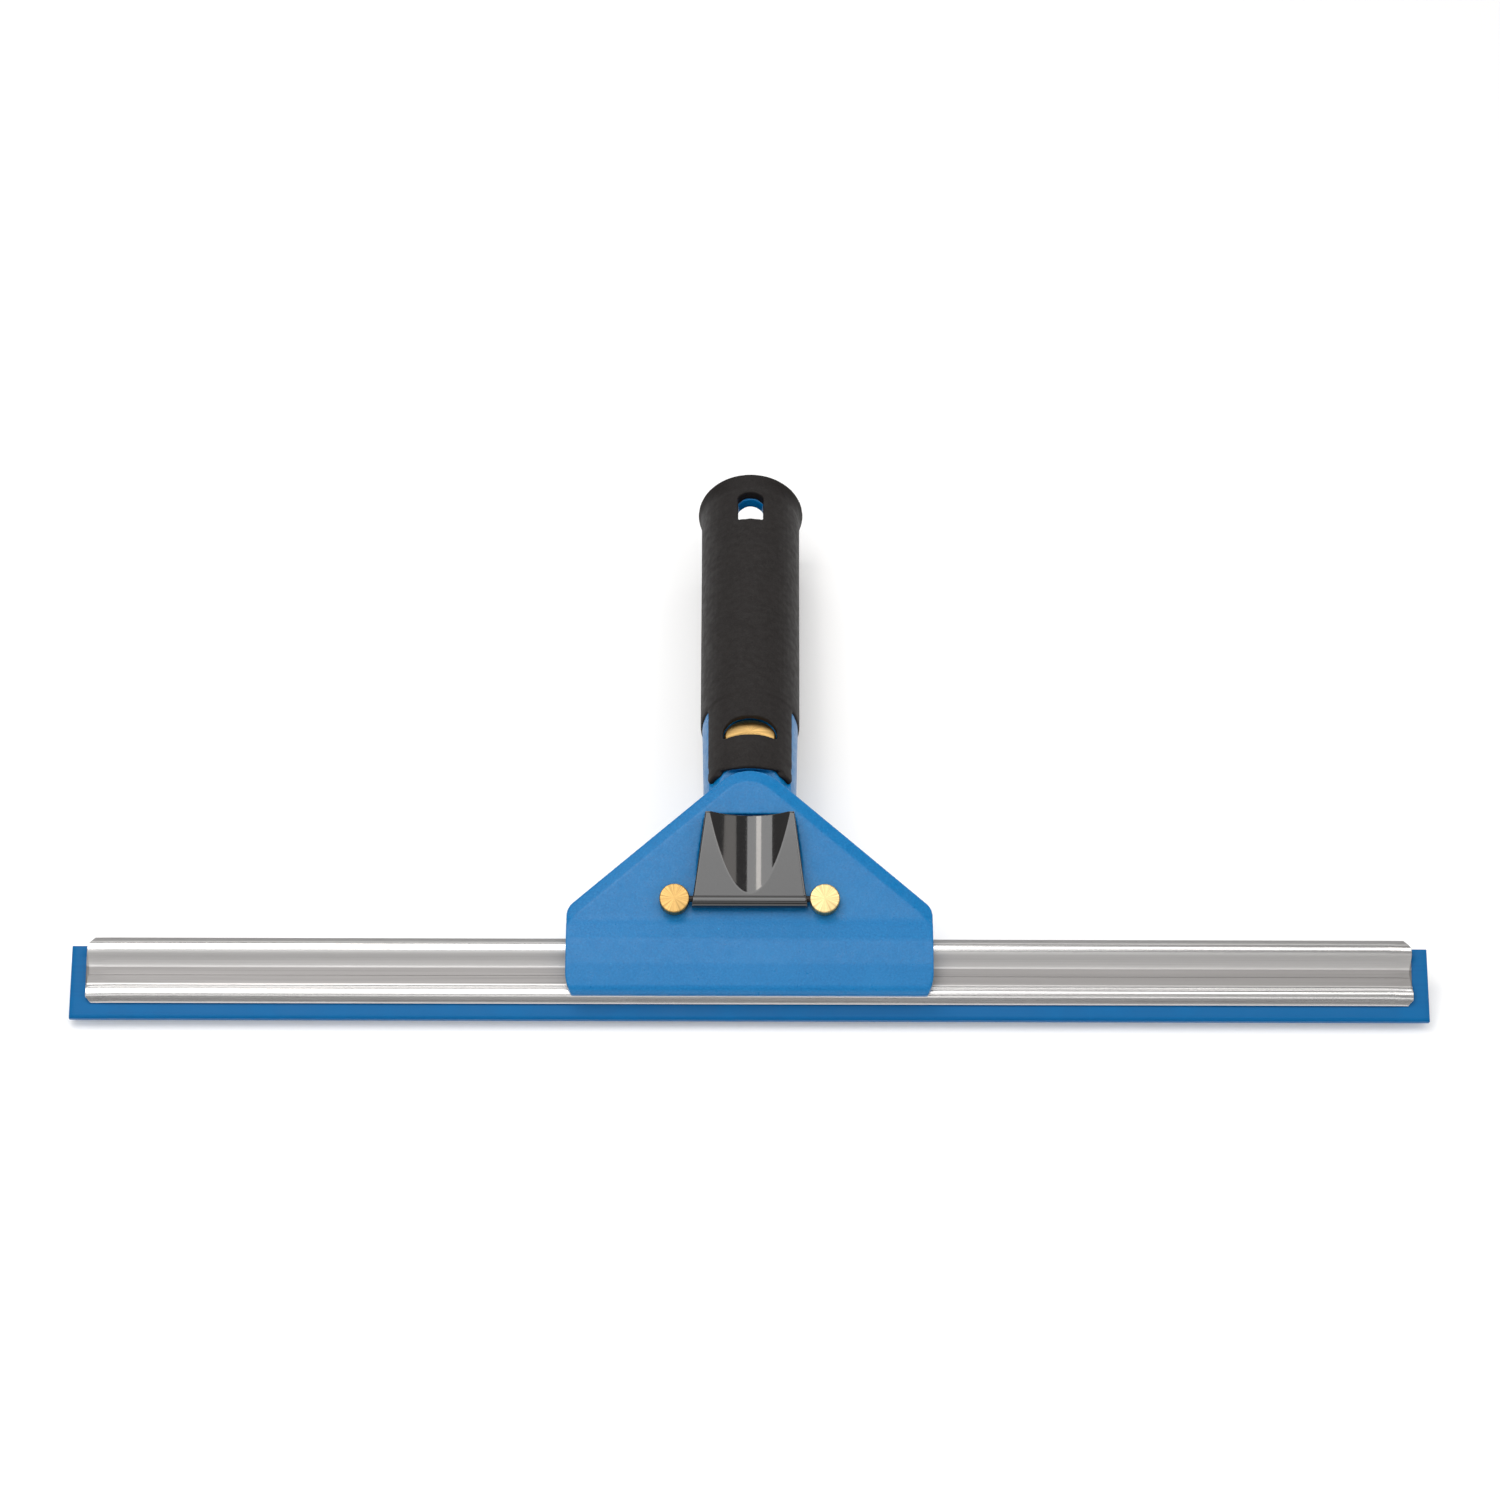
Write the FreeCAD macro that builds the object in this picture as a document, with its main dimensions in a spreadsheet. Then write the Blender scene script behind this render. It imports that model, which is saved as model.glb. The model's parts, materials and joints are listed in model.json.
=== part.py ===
"""Window squeegee with a swivelling clamp head and a hollow, pole-ready handle.

Two working frames are used, both with X along the wiping edge:
  head frame    Y runs up the head from the wiping edge, Z stands out of the head's face
  handle frame  Y runs along the handle from the pivot, Z stands out of the handle's front
The tool lies as on a table: on its wiping edge in front and on the grip's end rim behind.
"""
import FreeCAD, Part
import math
import os

import Sketcher
from FreeCAD import Placement, Rotation, Vector

DRIVING_SIZES = [
    # the wiping strip and its channel
    ("channel_length", 450.0),
    ("rubber_length", 461.0),
    ("rubber_thick", 2.6),
    ("rubber_height", 25.2),
    ("bead_half", 2.2),
    ("channel_low", 5.2),
    ("channel_top", 27.4),
    ("sheet_thick", 0.8),
    ("ridge_half", 4.7),
    # the head, a triangle with a rounded apex around the pivot
    ("head_half_width", 62.2),
    ("head_low", 7.2),
    ("shoulder_up", 39.5),
    ("pivot_up", 71.2),
    ("apex_round", 15.1),
    ("slant_angle", 40.7),
    ("face_out", 9.0),
    ("plate_back", 3.6),
    ("foot_out", 11.4),
    ("head_back", -7.8),
    ("housing_top", 53.6),
    # the clamp
    ("post_side", 25.5),
    ("post_up", 39.5),
    ("post_shank", 2.5),
    ("post_head", 4.95),
    ("post_head_tall", 4.9),
    ("pin_out", 12.1),
    ("pin_round", 1.1),
    # the thumb lever
    ("lever_foot_half", 19.6),
    ("lever_top_half", 15.2),
    ("lever_top_up", 69.0),
    ("lever_under", 9.3),
    ("barrel_round", 2.5),
    ("lever_well_gap", 0.35),
    # the handle
    ("bend_angle", 31.6),
    ("axis_out", -1.5),
    ("neck_low_round", 16.0),
    ("neck_high_round", 16.9),
    ("tube_round", 14.6),
    ("socket_round", 10.6),
    ("socket_depth", 70.0),
    ("grip_start", 46.8),
    ("grip_end", 169.7),
    ("rim_round", 19.6),
    ("tongue_start", 8.0),
    ("tongue_under", 15.0),
    ("tongue_angle", 120.0),
    # the lock
    ("button_along", 28.6),
    ("button_round", 8.9),
    ("bar_round", 2.4),
    ("boss_round", 6.0),
    ("hub_round", 16.4),
    ("counterbore", 11.0),
    ("fit_gap", 0.05),
]


class Size:
    """A length that keeps its spreadsheet expression beside its value."""

    def __init__(self, value, text):
        self.value = float(value)
        self.text = text

    def __add__(self, other):
        other = size(other)
        return Size(self.value + other.value, f"({self.text} + {other.text})")

    def __sub__(self, other):
        other = size(other)
        return Size(self.value - other.value, f"({self.text} - {other.text})")

    def __mul__(self, other):
        other = size(other)
        return Size(self.value * other.value, f"({self.text} * {other.text})")

    def __truediv__(self, other):
        other = size(other)
        return Size(self.value / other.value, f"({self.text} / {other.text})")

    def __radd__(self, other):
        return size(other) + self

    def __rsub__(self, other):
        return size(other) - self

    def __rmul__(self, other):
        return size(other) * self

    def __neg__(self):
        return Size(-self.value, f"(-{self.text})")


def size(number):
    """Give a plain number the same form as a spreadsheet size."""
    if isinstance(number, Size):
        return number
    return Size(number, f"({number:.6g})")


doc = FreeCAD.newDocument("Squeegee")
sheet = doc.addObject("Spreadsheet::Sheet", "Sizes")
for row, (alias, number) in enumerate(DRIVING_SIZES, start=1):
    sheet.set(f"A{row}", alias.replace("_", " "))
    sheet.set(f"B{row}", str(number))
    sheet.setAlias(f"B{row}", alias)
doc.recompute()
D = {alias: Size(sheet.get(alias), f"Sizes.{alias}") for alias, number in DRIVING_SIZES}

NODES = []


# ---------------------------------------------------------------- where the two frames stand

def table_pose():
    """Return the placements of the head frame and the handle frame, and the head's rise."""
    bend = math.radians(D["bend_angle"].value)
    half = D["rubber_thick"].value / 2
    pivot = D["pivot_up"].value
    offset = D["axis_out"].value
    length = D["grip_end"].value
    rim = D["rim_round"].value
    rise = math.atan2(
        length * math.sin(bend) + rim * math.cos(bend) - offset - half,
        pivot + length * math.cos(bend) - rim * math.sin(bend),
    )
    fall = bend - rise
    front = -half * math.sin(rise)
    pivot_y = pivot * math.cos(rise) - offset * math.sin(rise)
    pivot_z = pivot * math.sin(rise) + offset * math.cos(rise)
    back = pivot_y + length * math.cos(fall) + rim * math.sin(fall)
    start = Vector(0, -(front + back) / 2, half * math.cos(rise))
    head = Placement(start, Rotation(Vector(1, 0, 0), math.degrees(rise)))
    handle = Placement(
        start + Vector(0, pivot_y, pivot_z), Rotation(Vector(1, 0, 0), -math.degrees(fall))
    )
    return head, handle


HEAD_FRAME, HANDLE_FRAME = table_pose()


# ---------------------------------------------------------------- small modelling tools

def new_body(name):
    """Start a sub-part and note it as a node."""
    body = doc.addObject("PartDesign::Body", name)
    body.Label = name
    NODES.append(body)
    return body


def bind(feature, name, amount):
    """Set a property and tie it to the spreadsheet."""
    amount = size(amount)
    feature.setExpression(name, amount.text)


def new_sketch(body, plane, offset=0.0, tilt=None):
    """Attach a sketch to one of the body's planes, moved along its normal or tilted about X."""
    sketch = body.newObject("Sketcher::SketchObject", f"{body.Name}_sketch")
    origin = {feature.Role: feature for feature in body.Origin.OriginFeatures}
    sketch.AttachmentSupport = [(origin[f"{plane}_Plane"], "")]
    sketch.MapMode = "FlatFace"
    offset = size(offset)
    if tilt is None:
        bind(sketch, "AttachmentOffset.Base.z", offset)
        return sketch
    sketch.AttachmentOffset = Placement(Vector(0, 0, 0), Rotation(Vector(1, 0, 0), tilt.value))
    sketch.setExpression("AttachmentOffset.Rotation.Angle", tilt.text)
    sketch.setExpression("AttachmentOffset.Base.y", f"-sin({tilt.text} * 1 deg) * {offset.text}")
    sketch.setExpression("AttachmentOffset.Base.z", f"cos({tilt.text} * 1 deg) * {offset.text}")
    return sketch


def fix_point(sketch, element, end, x, y):
    """Tie one point of a sketch element to its place."""
    for kind, amount in (("DistanceX", x), ("DistanceY", y)):
        index = sketch.addConstraint(Sketcher.Constraint(kind, -1, 1, element, end, amount.value))
        sketch.setExpression(f"Constraints[{index}]", amount.text)


def loop(sketch, corners):
    """Draw a closed outline. A third number in a corner bows the side that leaves it.

    The bow is the side's radius: positive puts the arc's centre to the left of the way.
    """
    points = [(size(corner[0]), size(corner[1])) for corner in corners]
    count = len(corners)
    ends = []
    for index, corner in enumerate(corners):
        x0, y0 = (part.value for part in points[index])
        x1, y1 = (part.value for part in points[(index + 1) % count])
        first, last = Vector(x0, y0, 0), Vector(x1, y1, 0)
        if len(corner) == 2:
            element = sketch.addGeometry(Part.LineSegment(first, last), False)
            ends.append((element, 1, 2))
            continue
        bow = size(corner[2])
        chord = last - first
        left = Vector(-chord.y, chord.x, 0).normalize()
        reach = math.sqrt(max(bow.value ** 2 - (chord.Length / 2) ** 2, 0.0))
        centre = (first + last) / 2 + left * math.copysign(reach, bow.value)
        begin, finish = (first, last) if bow.value > 0 else (last, first)
        start_angle = math.atan2(begin.y - centre.y, begin.x - centre.x)
        end_angle = math.atan2(finish.y - centre.y, finish.x - centre.x)
        if end_angle < start_angle:
            end_angle += 2 * math.pi
        circle = Part.Circle(centre, Vector(0, 0, 1), abs(bow.value))
        element = sketch.addGeometry(Part.ArcOfCircle(circle, start_angle, end_angle), False)
        ends.append((element, 1, 2) if bow.value > 0 else (element, 2, 1))
        radius = bow if bow.value > 0 else -bow
        index = sketch.addConstraint(Sketcher.Constraint("Radius", element, radius.value))
        sketch.setExpression(f"Constraints[{index}]", radius.text)
    for index in range(count):
        element, begin, finish = ends[index]
        following, follow_begin, follow_finish = ends[(index + 1) % count]
        sketch.addConstraint(
            Sketcher.Constraint("Coincident", element, finish, following, follow_begin)
        )
        fix_point(sketch, element, begin, *points[index])


def rectangle(sketch, left, right, low, high):
    """Draw an upright rectangle."""
    loop(sketch, [(left, low), (right, low), (right, high), (left, high)])


def circle(sketch, x, y, radius):
    """Draw a circle."""
    x, y, radius = size(x), size(y), size(radius)
    shape = Part.Circle(Vector(x.value, y.value, 0), Vector(0, 0, 1), radius.value)
    element = sketch.addGeometry(shape, False)
    fix_point(sketch, element, 3, x, y)
    index = sketch.addConstraint(Sketcher.Constraint("Radius", element, radius.value))
    sketch.setExpression(f"Constraints[{index}]", radius.text)


def checked(body, feature, sign):
    """Recompute and insist that the feature added (+1) or removed (-1) material."""
    before = body.Shape.Volume if not body.Shape.isNull() else 0.0
    doc.recompute()
    change = (body.Shape.Volume - before) * sign
    if change <= 1e-6:
        raise RuntimeError(f"{feature.Name} changes nothing")
    return feature


def extrude(body, kind, sketch, length, symmetric, reverse):
    """Shared part of pad and pocket."""
    feature = body.newObject(f"PartDesign::{kind}", f"{body.Name}_{kind}")
    feature.Profile = sketch
    if length is None:
        feature.Type = "ThroughAll"
    else:
        bind(feature, "Length", length)
    if symmetric:
        feature.SideType = "Symmetric"
    feature.Reversed = reverse
    return feature


def pad(body, sketch, length, symmetric=False, reverse=False):
    """Add material along the sketch's normal."""
    return checked(body, extrude(body, "Pad", sketch, length, symmetric, reverse), 1)


def pocket(body, sketch, length=None, symmetric=False, reverse=False):
    """Remove material against the sketch's normal, or along it when reversed."""
    return checked(body, extrude(body, "Pocket", sketch, length, symmetric, reverse), -1)


def turn(body, sketch, kind="Revolution", axis="H_Axis", angle=360.0):
    """Revolve a sketch about one of its axes, half the angle to each side."""
    feature = body.newObject(f"PartDesign::{kind}", f"{body.Name}_{kind}")
    feature.Profile = sketch
    feature.ReferenceAxis = (sketch, [axis])
    bind(feature, "Angle", angle)
    feature.Midplane = size(angle).value < 360
    return checked(body, feature, 1 if kind == "Revolution" else -1)


def edges_where(body, test):
    """Names of the body's edges whose middle point passes the test."""
    names = []
    for index, edge in enumerate(body.Shape.Edges, start=1):
        middle = edge.valueAt((edge.FirstParameter + edge.LastParameter) / 2)
        if test(middle, edge):
            names.append(f"Edge{index}")
    if not names:
        raise RuntimeError(f"no edge found on {body.Name}")
    return names


def round_edges(body, radius, test):
    """Fillet the chosen edges."""
    names = edges_where(body, test)
    feature = body.newObject("PartDesign::Fillet", f"{body.Name}_Fillet")
    feature.Base = (body.Group[-2], names)
    bind(feature, "Radius", radius)
    doc.recompute()
    return feature


def bevel_edges(body, amount, test):
    """Chamfer the chosen edges evenly."""
    names = edges_where(body, test)
    feature = body.newObject("PartDesign::Chamfer", f"{body.Name}_Chamfer")
    feature.Base = (body.Group[-2], names)
    bind(feature, "Size", amount)
    doc.recompute()
    return feature


def drum(body, radius, low, high, x=0.0, y=0.0, tilt=None):
    """Add a cylinder that stands on the XY plane."""
    sketch = new_sketch(body, "XY", low, tilt)
    circle(sketch, x, y, radius)
    return pad(body, sketch, size(high) - low)


def bore(body, radius, low, high, x=0.0, y=0.0, tilt=None):
    """Cut a cylinder that stands on the XY plane."""
    sketch = new_sketch(body, "XY", low, tilt)
    circle(sketch, x, y, radius)
    return pocket(body, sketch, size(high) - low, reverse=True)


def long_bore(body, radius, start, end, z=0.0):
    """Cut a cylinder that runs along Y."""
    sketch = new_sketch(body, "XZ", -size(end))
    circle(sketch, 0.0, z, radius)
    return pocket(body, sketch, size(end) - start, reverse=True)


def block_cut(body, plane, offset, length, left, right, low, high, tilt=None):
    """Cut a box that starts at the offset and grows along the plane's normal."""
    sketch = new_sketch(body, plane, offset, tilt)
    rectangle(sketch, left, right, low, high)
    return pocket(body, sketch, length, reverse=True)


def ring(name, outer, inner, low, high, x=0.0, y=0.0, tilt=None):
    """A washer or bush standing on the XY plane."""
    body = new_body(name)
    sketch = new_sketch(body, "XY", low, tilt)
    circle(sketch, x, y, outer)
    circle(sketch, x, y, inner)
    pad(body, sketch, size(high) - low)
    return body


def place(frame, *bodies):
    """Stand the bodies in one of the two frames."""
    for body in bodies:
        body.Placement = frame


# ---------------------------------------------------------------- the wiping strip and channel

def make_rubber_blade():
    """A flat strip with a bead along its upper edge, notched for the end clips."""
    body = new_body("rubber_blade")
    half = D["rubber_thick"] / 2
    sketch = new_sketch(body, "YZ")
    rectangle(sketch, 0.0, D["rubber_height"], -half, half)
    pad(body, sketch, D["rubber_length"], symmetric=True)
    bead = new_sketch(body, "YZ")
    circle(bead, D["rubber_height"] - D["bead_half"], 0.0, D["bead_half"])
    pad(body, bead, D["channel_length"], symmetric=True)
    for side in (-1, 1):
        middle = side * (D["channel_length"] / 2 - 12.0)
        block_cut(body, "XY", -4.0, 8.0, middle - 3.1, middle + 3.1, 17.5, 30.0)
    return body


def channel_half_outline():
    """Outer half of the channel's section as (up, out) corners, from the top to the lip."""
    ridge = D["ridge_half"]
    top, low = D["channel_top"], D["channel_low"]
    return [
        (top, 2.1, -2.8),
        (top - 2.4, ridge, -1.9),
        (top - 5.0, ridge - 0.2, 9.0),
        (top - 9.5, 2.35),
        (low + 6.3, 2.75, 4.0),
        (low + 4.9, ridge - 0.9, -1.2),
        (low + 3.3, ridge - 0.8, 6.0),
        (low + 0.6, 2.55, -0.9),
        (low, 1.95),
    ]


def channel_inner_outline():
    """Inner half of the channel's section, one sheet thickness inside."""
    ridge = D["ridge_half"] - D["sheet_thick"]
    top, low = D["channel_top"] - D["sheet_thick"], D["channel_low"]
    return [
        (low, 1.4),
        (low + 0.9, 1.75, -6.0),
        (low + 3.4, ridge - 0.85, 0.9),
        (low + 4.4, ridge - 1.1, -4.0),
        (low + 6.3, 1.5),
        (low + 12.7, 1.5, -9.0),
        (top - 3.6, ridge - 0.3, 1.7),
        (top - 1.7, ridge - 0.2, 2.4),
        (top, 1.5),
    ]


def make_steel_channel():
    """A sheet folded over the rubber: two ridges with a shallow waist between them."""
    body = new_body("steel_channel")
    outer = channel_half_outline()
    inner = channel_inner_outline()

    def mirrored(corners):
        """The same corners on the back side, walked the other way."""
        turned = []
        for index in range(len(corners) - 1, -1, -1):
            up, out = corners[index][0], corners[index][1]
            bow = corners[index - 1][2:] if index > 0 else ()
            turned.append((up, -size(out), *bow))
        return turned

    sketch = new_sketch(body, "YZ")
    loop(sketch, outer + inner + mirrored(inner) + mirrored(outer))
    pad(body, sketch, D["channel_length"], symmetric=True)
    return body


def make_end_clips():
    """Two small clips that sit in the bead's notches and keep the strip from creeping."""
    clips = []
    for side, name in ((-1, "left_end_clip"), (1, "right_end_clip")):
        body = new_body(name)
        sketch = new_sketch(body, "YZ", side * (D["channel_length"] / 2 - 12.0))
        rectangle(sketch, 18.2, 25.6, -1.45, 1.45)
        pad(body, sketch, 6.0, symmetric=True)
        crown = new_sketch(body, "YZ", side * (D["channel_length"] / 2 - 12.0))
        circle(crown, 23.2, 0.0, 2.4)
        pad(body, crown, 6.0, symmetric=True)
        bevel_edges(body, 0.4, lambda point, edge: abs(edge.Length - 6.0) < 0.01 and point.y < 19)
        clips.append(body)
    return clips


# ---------------------------------------------------------------- the head

def head_outline(sketch):
    """Triangle with cut shoulders and a round apex, as seen on the face."""
    half = D["head_half_width"]
    shoulder = D["shoulder_up"]
    pivot = D["pivot_up"]
    apex = D["apex_round"]
    tangent = math.radians(D["slant_angle"].value)
    side = apex * math.sin(tangent)
    rise = pivot + apex * math.cos(tangent)
    loop(sketch, [
        (-half + 3.4, D["head_low"] - 2.0),
        (half - 3.4, D["head_low"] - 2.0, 14.0),
        (half, 15.0),
        (half, shoulder - 4.5, 6.0),
        (half - 2.2, shoulder),
        (side, rise, apex),
        (-side, rise),
        (-half + 2.2, shoulder, 6.0),
        (-half, shoulder - 4.5),
        (-half, 15.0, 14.0),
    ])


def keep_inside(body, draw, low, length):
    """Cut away whatever lies outside an outline, over one stretch of the height."""
    sketch = new_sketch(body, "XY", low)
    rectangle(sketch, -90.0, 90.0, -20.0, 110.0)
    draw(sketch)
    return pocket(body, sketch, length, reverse=True)


def housing_outline(sketch):
    """The rear housing follows the head's edges a few millimetres inside."""
    top = D["housing_top"]
    loop(sketch, [
        (-58.0, D["head_low"] - 2.0),
        (58.0, D["head_low"] - 2.0),
        (58.0, 36.5),
        (38.5, top),
        (-38.5, top),
        (-58.0, 36.5),
    ])


def bevel_face(body):
    """Bevel the face along the apex and the two slants that run from it."""
    wide, deep = 4.4, 1.7
    face, apex, pivot = D["face_out"], D["apex_round"], D["pivot_up"]
    sector = new_sketch(body, "YZ")
    inner = pivot + apex - wide
    loop(sector, [(inner, face), (pivot + apex + 3.0, face - deep * 7.4 / 4.4),
                  (pivot + apex + 3.0, face + 2.0), (inner, face + 2.0)])
    feature = body.newObject("PartDesign::Groove", "apex_bevel")
    feature.Profile = sector
    feature.ReferenceAxis = (new_axis(body, pivot), [""])
    bind(feature, "Angle", D["slant_angle"] * 2)
    feature.Midplane = True
    checked(body, feature, -1)
    turn_angle = math.radians(D["slant_angle"].value)
    for side in (-1, 1):
        out = Vector(side * math.sin(turn_angle), math.cos(turn_angle), 0)
        along = Vector(side * math.cos(turn_angle), -math.sin(turn_angle), 0)
        down = (out * wide - Vector(0, 0, deep)).normalize()
        corner = Vector(0, pivot.value, face.value) + out * (apex.value - wide)
        first, second = (along, down) if side > 0 else (down, along)
        box = body.newObject("PartDesign::SubtractiveBox", "slant_bevel")
        box.Length, box.Width = (90.0, 12.0) if side > 0 else (12.0, 90.0)
        box.Height = 8.0
        box.Placement = Placement(corner, Rotation(first, second, first.cross(second), "XYZ"))
        checked(body, box, -1)


CAVITY_CORNERS = [(-55.5, 28.6), (55.5, 28.6), (55.5, 35.4), (37.2, 51.4), (-37.2, 51.4),
                  (-55.5, 35.4)]
COVER_SCREW_PLACES = [(-51.0, 33.4), (51.0, 33.4), (-34.0, 47.4), (34.0, 47.4)]


def make_head_body():
    """Blue moulding: face plate, channel tunnel, clamp housing and the pivot boss."""
    body = new_body("head_body")
    low, face, foot, back = D["head_low"], D["face_out"], D["foot_out"], D["head_back"]
    plate, pivot, top = D["plate_back"], D["pivot_up"], D["housing_top"]
    apex_end = pivot + D["apex_round"]
    section = new_sketch(body, "YZ")
    loop(section, [
        (low, -3.0),
        (13.2, -5.0),
        (16.4, back),
        (top, back),
        (top, plate),
        (apex_end, plate),
        (apex_end, face),
        (35.0, face, -12.0),
        (31.5, face + 0.7),
        (27.0, foot - 0.5, 9.0),
        (24.0, foot),
        (17.2, foot),
        (9.6, foot - 0.9, 3.4),
        (low, foot - 3.6),
    ])
    pad(body, section, D["head_half_width"] * 2, symmetric=True)
    keep_inside(body, head_outline, -20.0, 60.0)
    keep_inside(body, housing_outline, -20.0, plate + 20.0)
    bevel_face(body)
    # tunnel for the channel, and room for the jaw in front of it
    block_cut(body, "YZ", -80.0, 160.0, 0.0, 28.6, -5.0, 5.1)
    jaw_room = new_sketch(body, "YZ")
    loop(jaw_room, [(9.0, 5.0), (31.8, -5.0), (31.8, 6.7), (28.9, 9.1), (9.0, 9.1)])
    pocket(body, jaw_room, 96.0, symmetric=True)
    # clamp cavity, open to the back
    cavity = new_sketch(body, "XY", -20.0)
    loop(cavity, CAVITY_CORNERS)
    pocket(body, cavity, 25.0, reverse=True)
    for x, y in COVER_SCREW_PLACES:
        drum(body, 3.4, back, plate + 1.6, x, y)
        bore(body, 1.25, back, 1.0, x, y)
    for side in (-1, 1):
        bore(body, D["post_shank"] + D["fit_gap"] * 2, 4.0, 14.0, side * D["post_side"],
             D["post_up"])
    # recesses for the two seat pads behind the channel
    for side in (-1, 1):
        block_cut(body, "XY", -6.2, 1.3, side * 30.0 - 20.0, side * 30.0 + 20.0, 15.5, 26.5)
    # well under the lever's upper end
    well = new_sketch(body, "XY", 6.3)
    lever_plan(well, D["lever_well_gap"], 48.0, 1.3)
    pocket(body, well, 10.0, reverse=True)
    ramp = new_sketch(body, "YZ")
    loop(ramp, [(47.5, 6.2), (70.6, 6.2), (70.6, 6.4), (48.0, 8.9), (47.5, 8.9)])
    pad(body, ramp, 36.0, symmetric=True)
    # pivot boss behind the apex
    drum(body, D["boss_round"], -6.6, plate + 0.2, 0.0, pivot)
    drum(body, 4.2, -9.6, -6.4, 0.0, pivot)
    bore(body, 1.98, -9.7, 2.6, 0.0, pivot)
    block_cut(body, "XY", -9.7, 3.1, -5.0, 5.0, pivot + 3.3, pivot + 5.0)
    return body


def make_seat_pads():
    """Two thin pads between the head's back wall and the channel."""
    body = new_body("seat_pads")
    for side in (-1, 1):
        sketch = new_sketch(body, "XY", -6.2)
        rectangle(sketch, side * 30.0 - 20.0, side * 30.0 + 20.0, 15.5, 26.5)
        feature = extrude(body, "Pad", sketch, 1.2, False, False)
        feature.AllowMultiFace = True
        doc.recompute()
    return body


def make_head_back_cover():
    """Shell that closes the clamp cavity from behind."""
    body = new_body("head_back_cover")
    sketch = new_sketch(body, "XY", D["head_back"] - 2.2)
    top = D["housing_top"]
    loop(sketch, [(-58.0, 26.8), (58.0, 26.8), (58.0, 36.5), (38.5, top), (-38.5, top),
                  (-58.0, 36.5)])
    pad(body, sketch, 2.2)
    bevel_edges(body, 0.9, lambda point, edge: point.z < D["head_back"].value - 2.19)
    for x, y in COVER_SCREW_PLACES:
        bore(body, 1.6, -12.0, -7.0, x, y)
        bore(body, 2.9, -12.0, D["head_back"] - 1.1, x, y)
    # room for the nuts and the thread ends
    for side in (-1, 1):
        bore(body, 3.9, D["head_back"] - 0.8, -7.0, side * D["post_side"], D["post_up"])
    return body


def screw_shape(x, y, low, thread_end, shank, head_radius, head_height, slot):
    """One pan-head screw standing on the XY plane, its head below, with a cross slot."""
    head = Part.makeCylinder(head_radius, head_height, Vector(x, y, low))
    shaft = Part.makeCylinder(shank, thread_end - low, Vector(x, y, low))
    solid = head.fuse(shaft)
    for length, width in ((slot * 5, slot), (slot, slot * 5)):
        corner = Vector(x - length / 2, y - width / 2, low - 0.01)
        solid = solid.cut(Part.makeBox(length, width, head_height * 0.55, corner))
    return solid.removeSplitter()


def new_feature(name, shape):
    """A plain shape where no sketch fits, listed with the other sub-parts."""
    feature = doc.addObject("Part::Feature", name)
    feature.Label = name
    feature.Shape = shape
    NODES.append(feature)
    return feature


def make_cover_screws():
    """Four identical screws through the back cover."""
    head_tall = 1.1
    low = D["head_back"].value - 2 * head_tall
    thread_end, shank, head_round, slot = 0.5, 1.25, 2.8, 0.7
    solids = [screw_shape(x, y, low, thread_end, shank, head_round, head_tall, slot)
              for x, y in COVER_SCREW_PLACES]
    return new_feature("cover_screws", Part.makeCompound(solids))


# ---------------------------------------------------------------- the clamp and its lever

def make_clamp_jaw():
    """Cranked steel strip: a flange on the posts, a web, and a flange over the channel."""
    body = new_body("clamp_jaw")
    section = new_sketch(body, "YZ")
    loop(section, [
        (10.2, 6.0), (29.2, 6.0), (29.2, -4.4), (45.4, -4.4), (45.4, -2.9), (30.8, -2.9),
        (30.8, 5.4), (28.7, 7.5), (10.2, 7.5),
    ])
    pad(body, section, 90.0, symmetric=True)
    for side in (-1, 1):
        block_cut(body, "XY", -6.0, 5.0, side * 39.0 - 9.0, side * 39.0 + 9.0, 30.9, 50.0)
        bore(body, 1.5, -5.0, -2.0, side * D["post_side"], D["post_up"])
    block_cut(body, "XY", -6.0, 5.0, -17.0, 17.0, 30.9, 50.0)
    return body


def make_jaw_pad():
    """Rubber facing between the jaw and the channel."""
    body = new_body("jaw_pad")
    sketch = new_sketch(body, "XY", 5.05)
    rectangle(sketch, -44.0, 44.0, 10.6, 26.6)
    pad(body, sketch, 0.95)
    return body


def make_clamp_post(name, side):
    """Turned brass post: a round head on the face, a shank and a thread for the nut."""
    body = new_body(name)
    x, y = side * D["post_side"], D["post_up"]
    head_low = D["face_out"] + 0.2
    head_high = D["face_out"] + D["post_head_tall"]
    drum(body, D["post_head"], head_low, head_high, x, y)
    bevel_edges(body, 0.45, lambda point, edge: abs(point.z - head_high.value) < 0.01)
    drum(body, D["post_shank"], -2.9, head_low, x, y)
    drum(body, 1.5, -7.2, -2.9, x, y)
    hole = new_sketch(body, "YZ", side * (D["post_side"] - 6.0))
    circle(hole, y, D["pin_out"], D["pin_round"])
    pocket(body, hole, 3.5, reverse=side > 0)
    return body


def make_post_nuts():
    """Two hexagon nuts under the jaw."""
    feature = doc.addObject("Part::Feature", "post_nuts")
    feature.Label = "post_nuts"
    solids = []
    for side in (-1, 1):
        centre = Vector(side * D["post_side"].value, D["post_up"].value, -6.8)
        corners = []
        for step in range(7):
            angle = math.radians(60 * step)
            corners.append(centre + Vector(3.17 * math.cos(angle), 3.17 * math.sin(angle), 0))
        nut = Part.Face(Part.makePolygon(corners)).extrude(Vector(0, 0, 2.4))
        solids.append(nut.cut(Part.makeCylinder(1.5, 4.0, centre - Vector(0, 0, 1))))
    feature.Shape = Part.makeCompound(solids)
    NODES.append(feature)
    return feature


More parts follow.
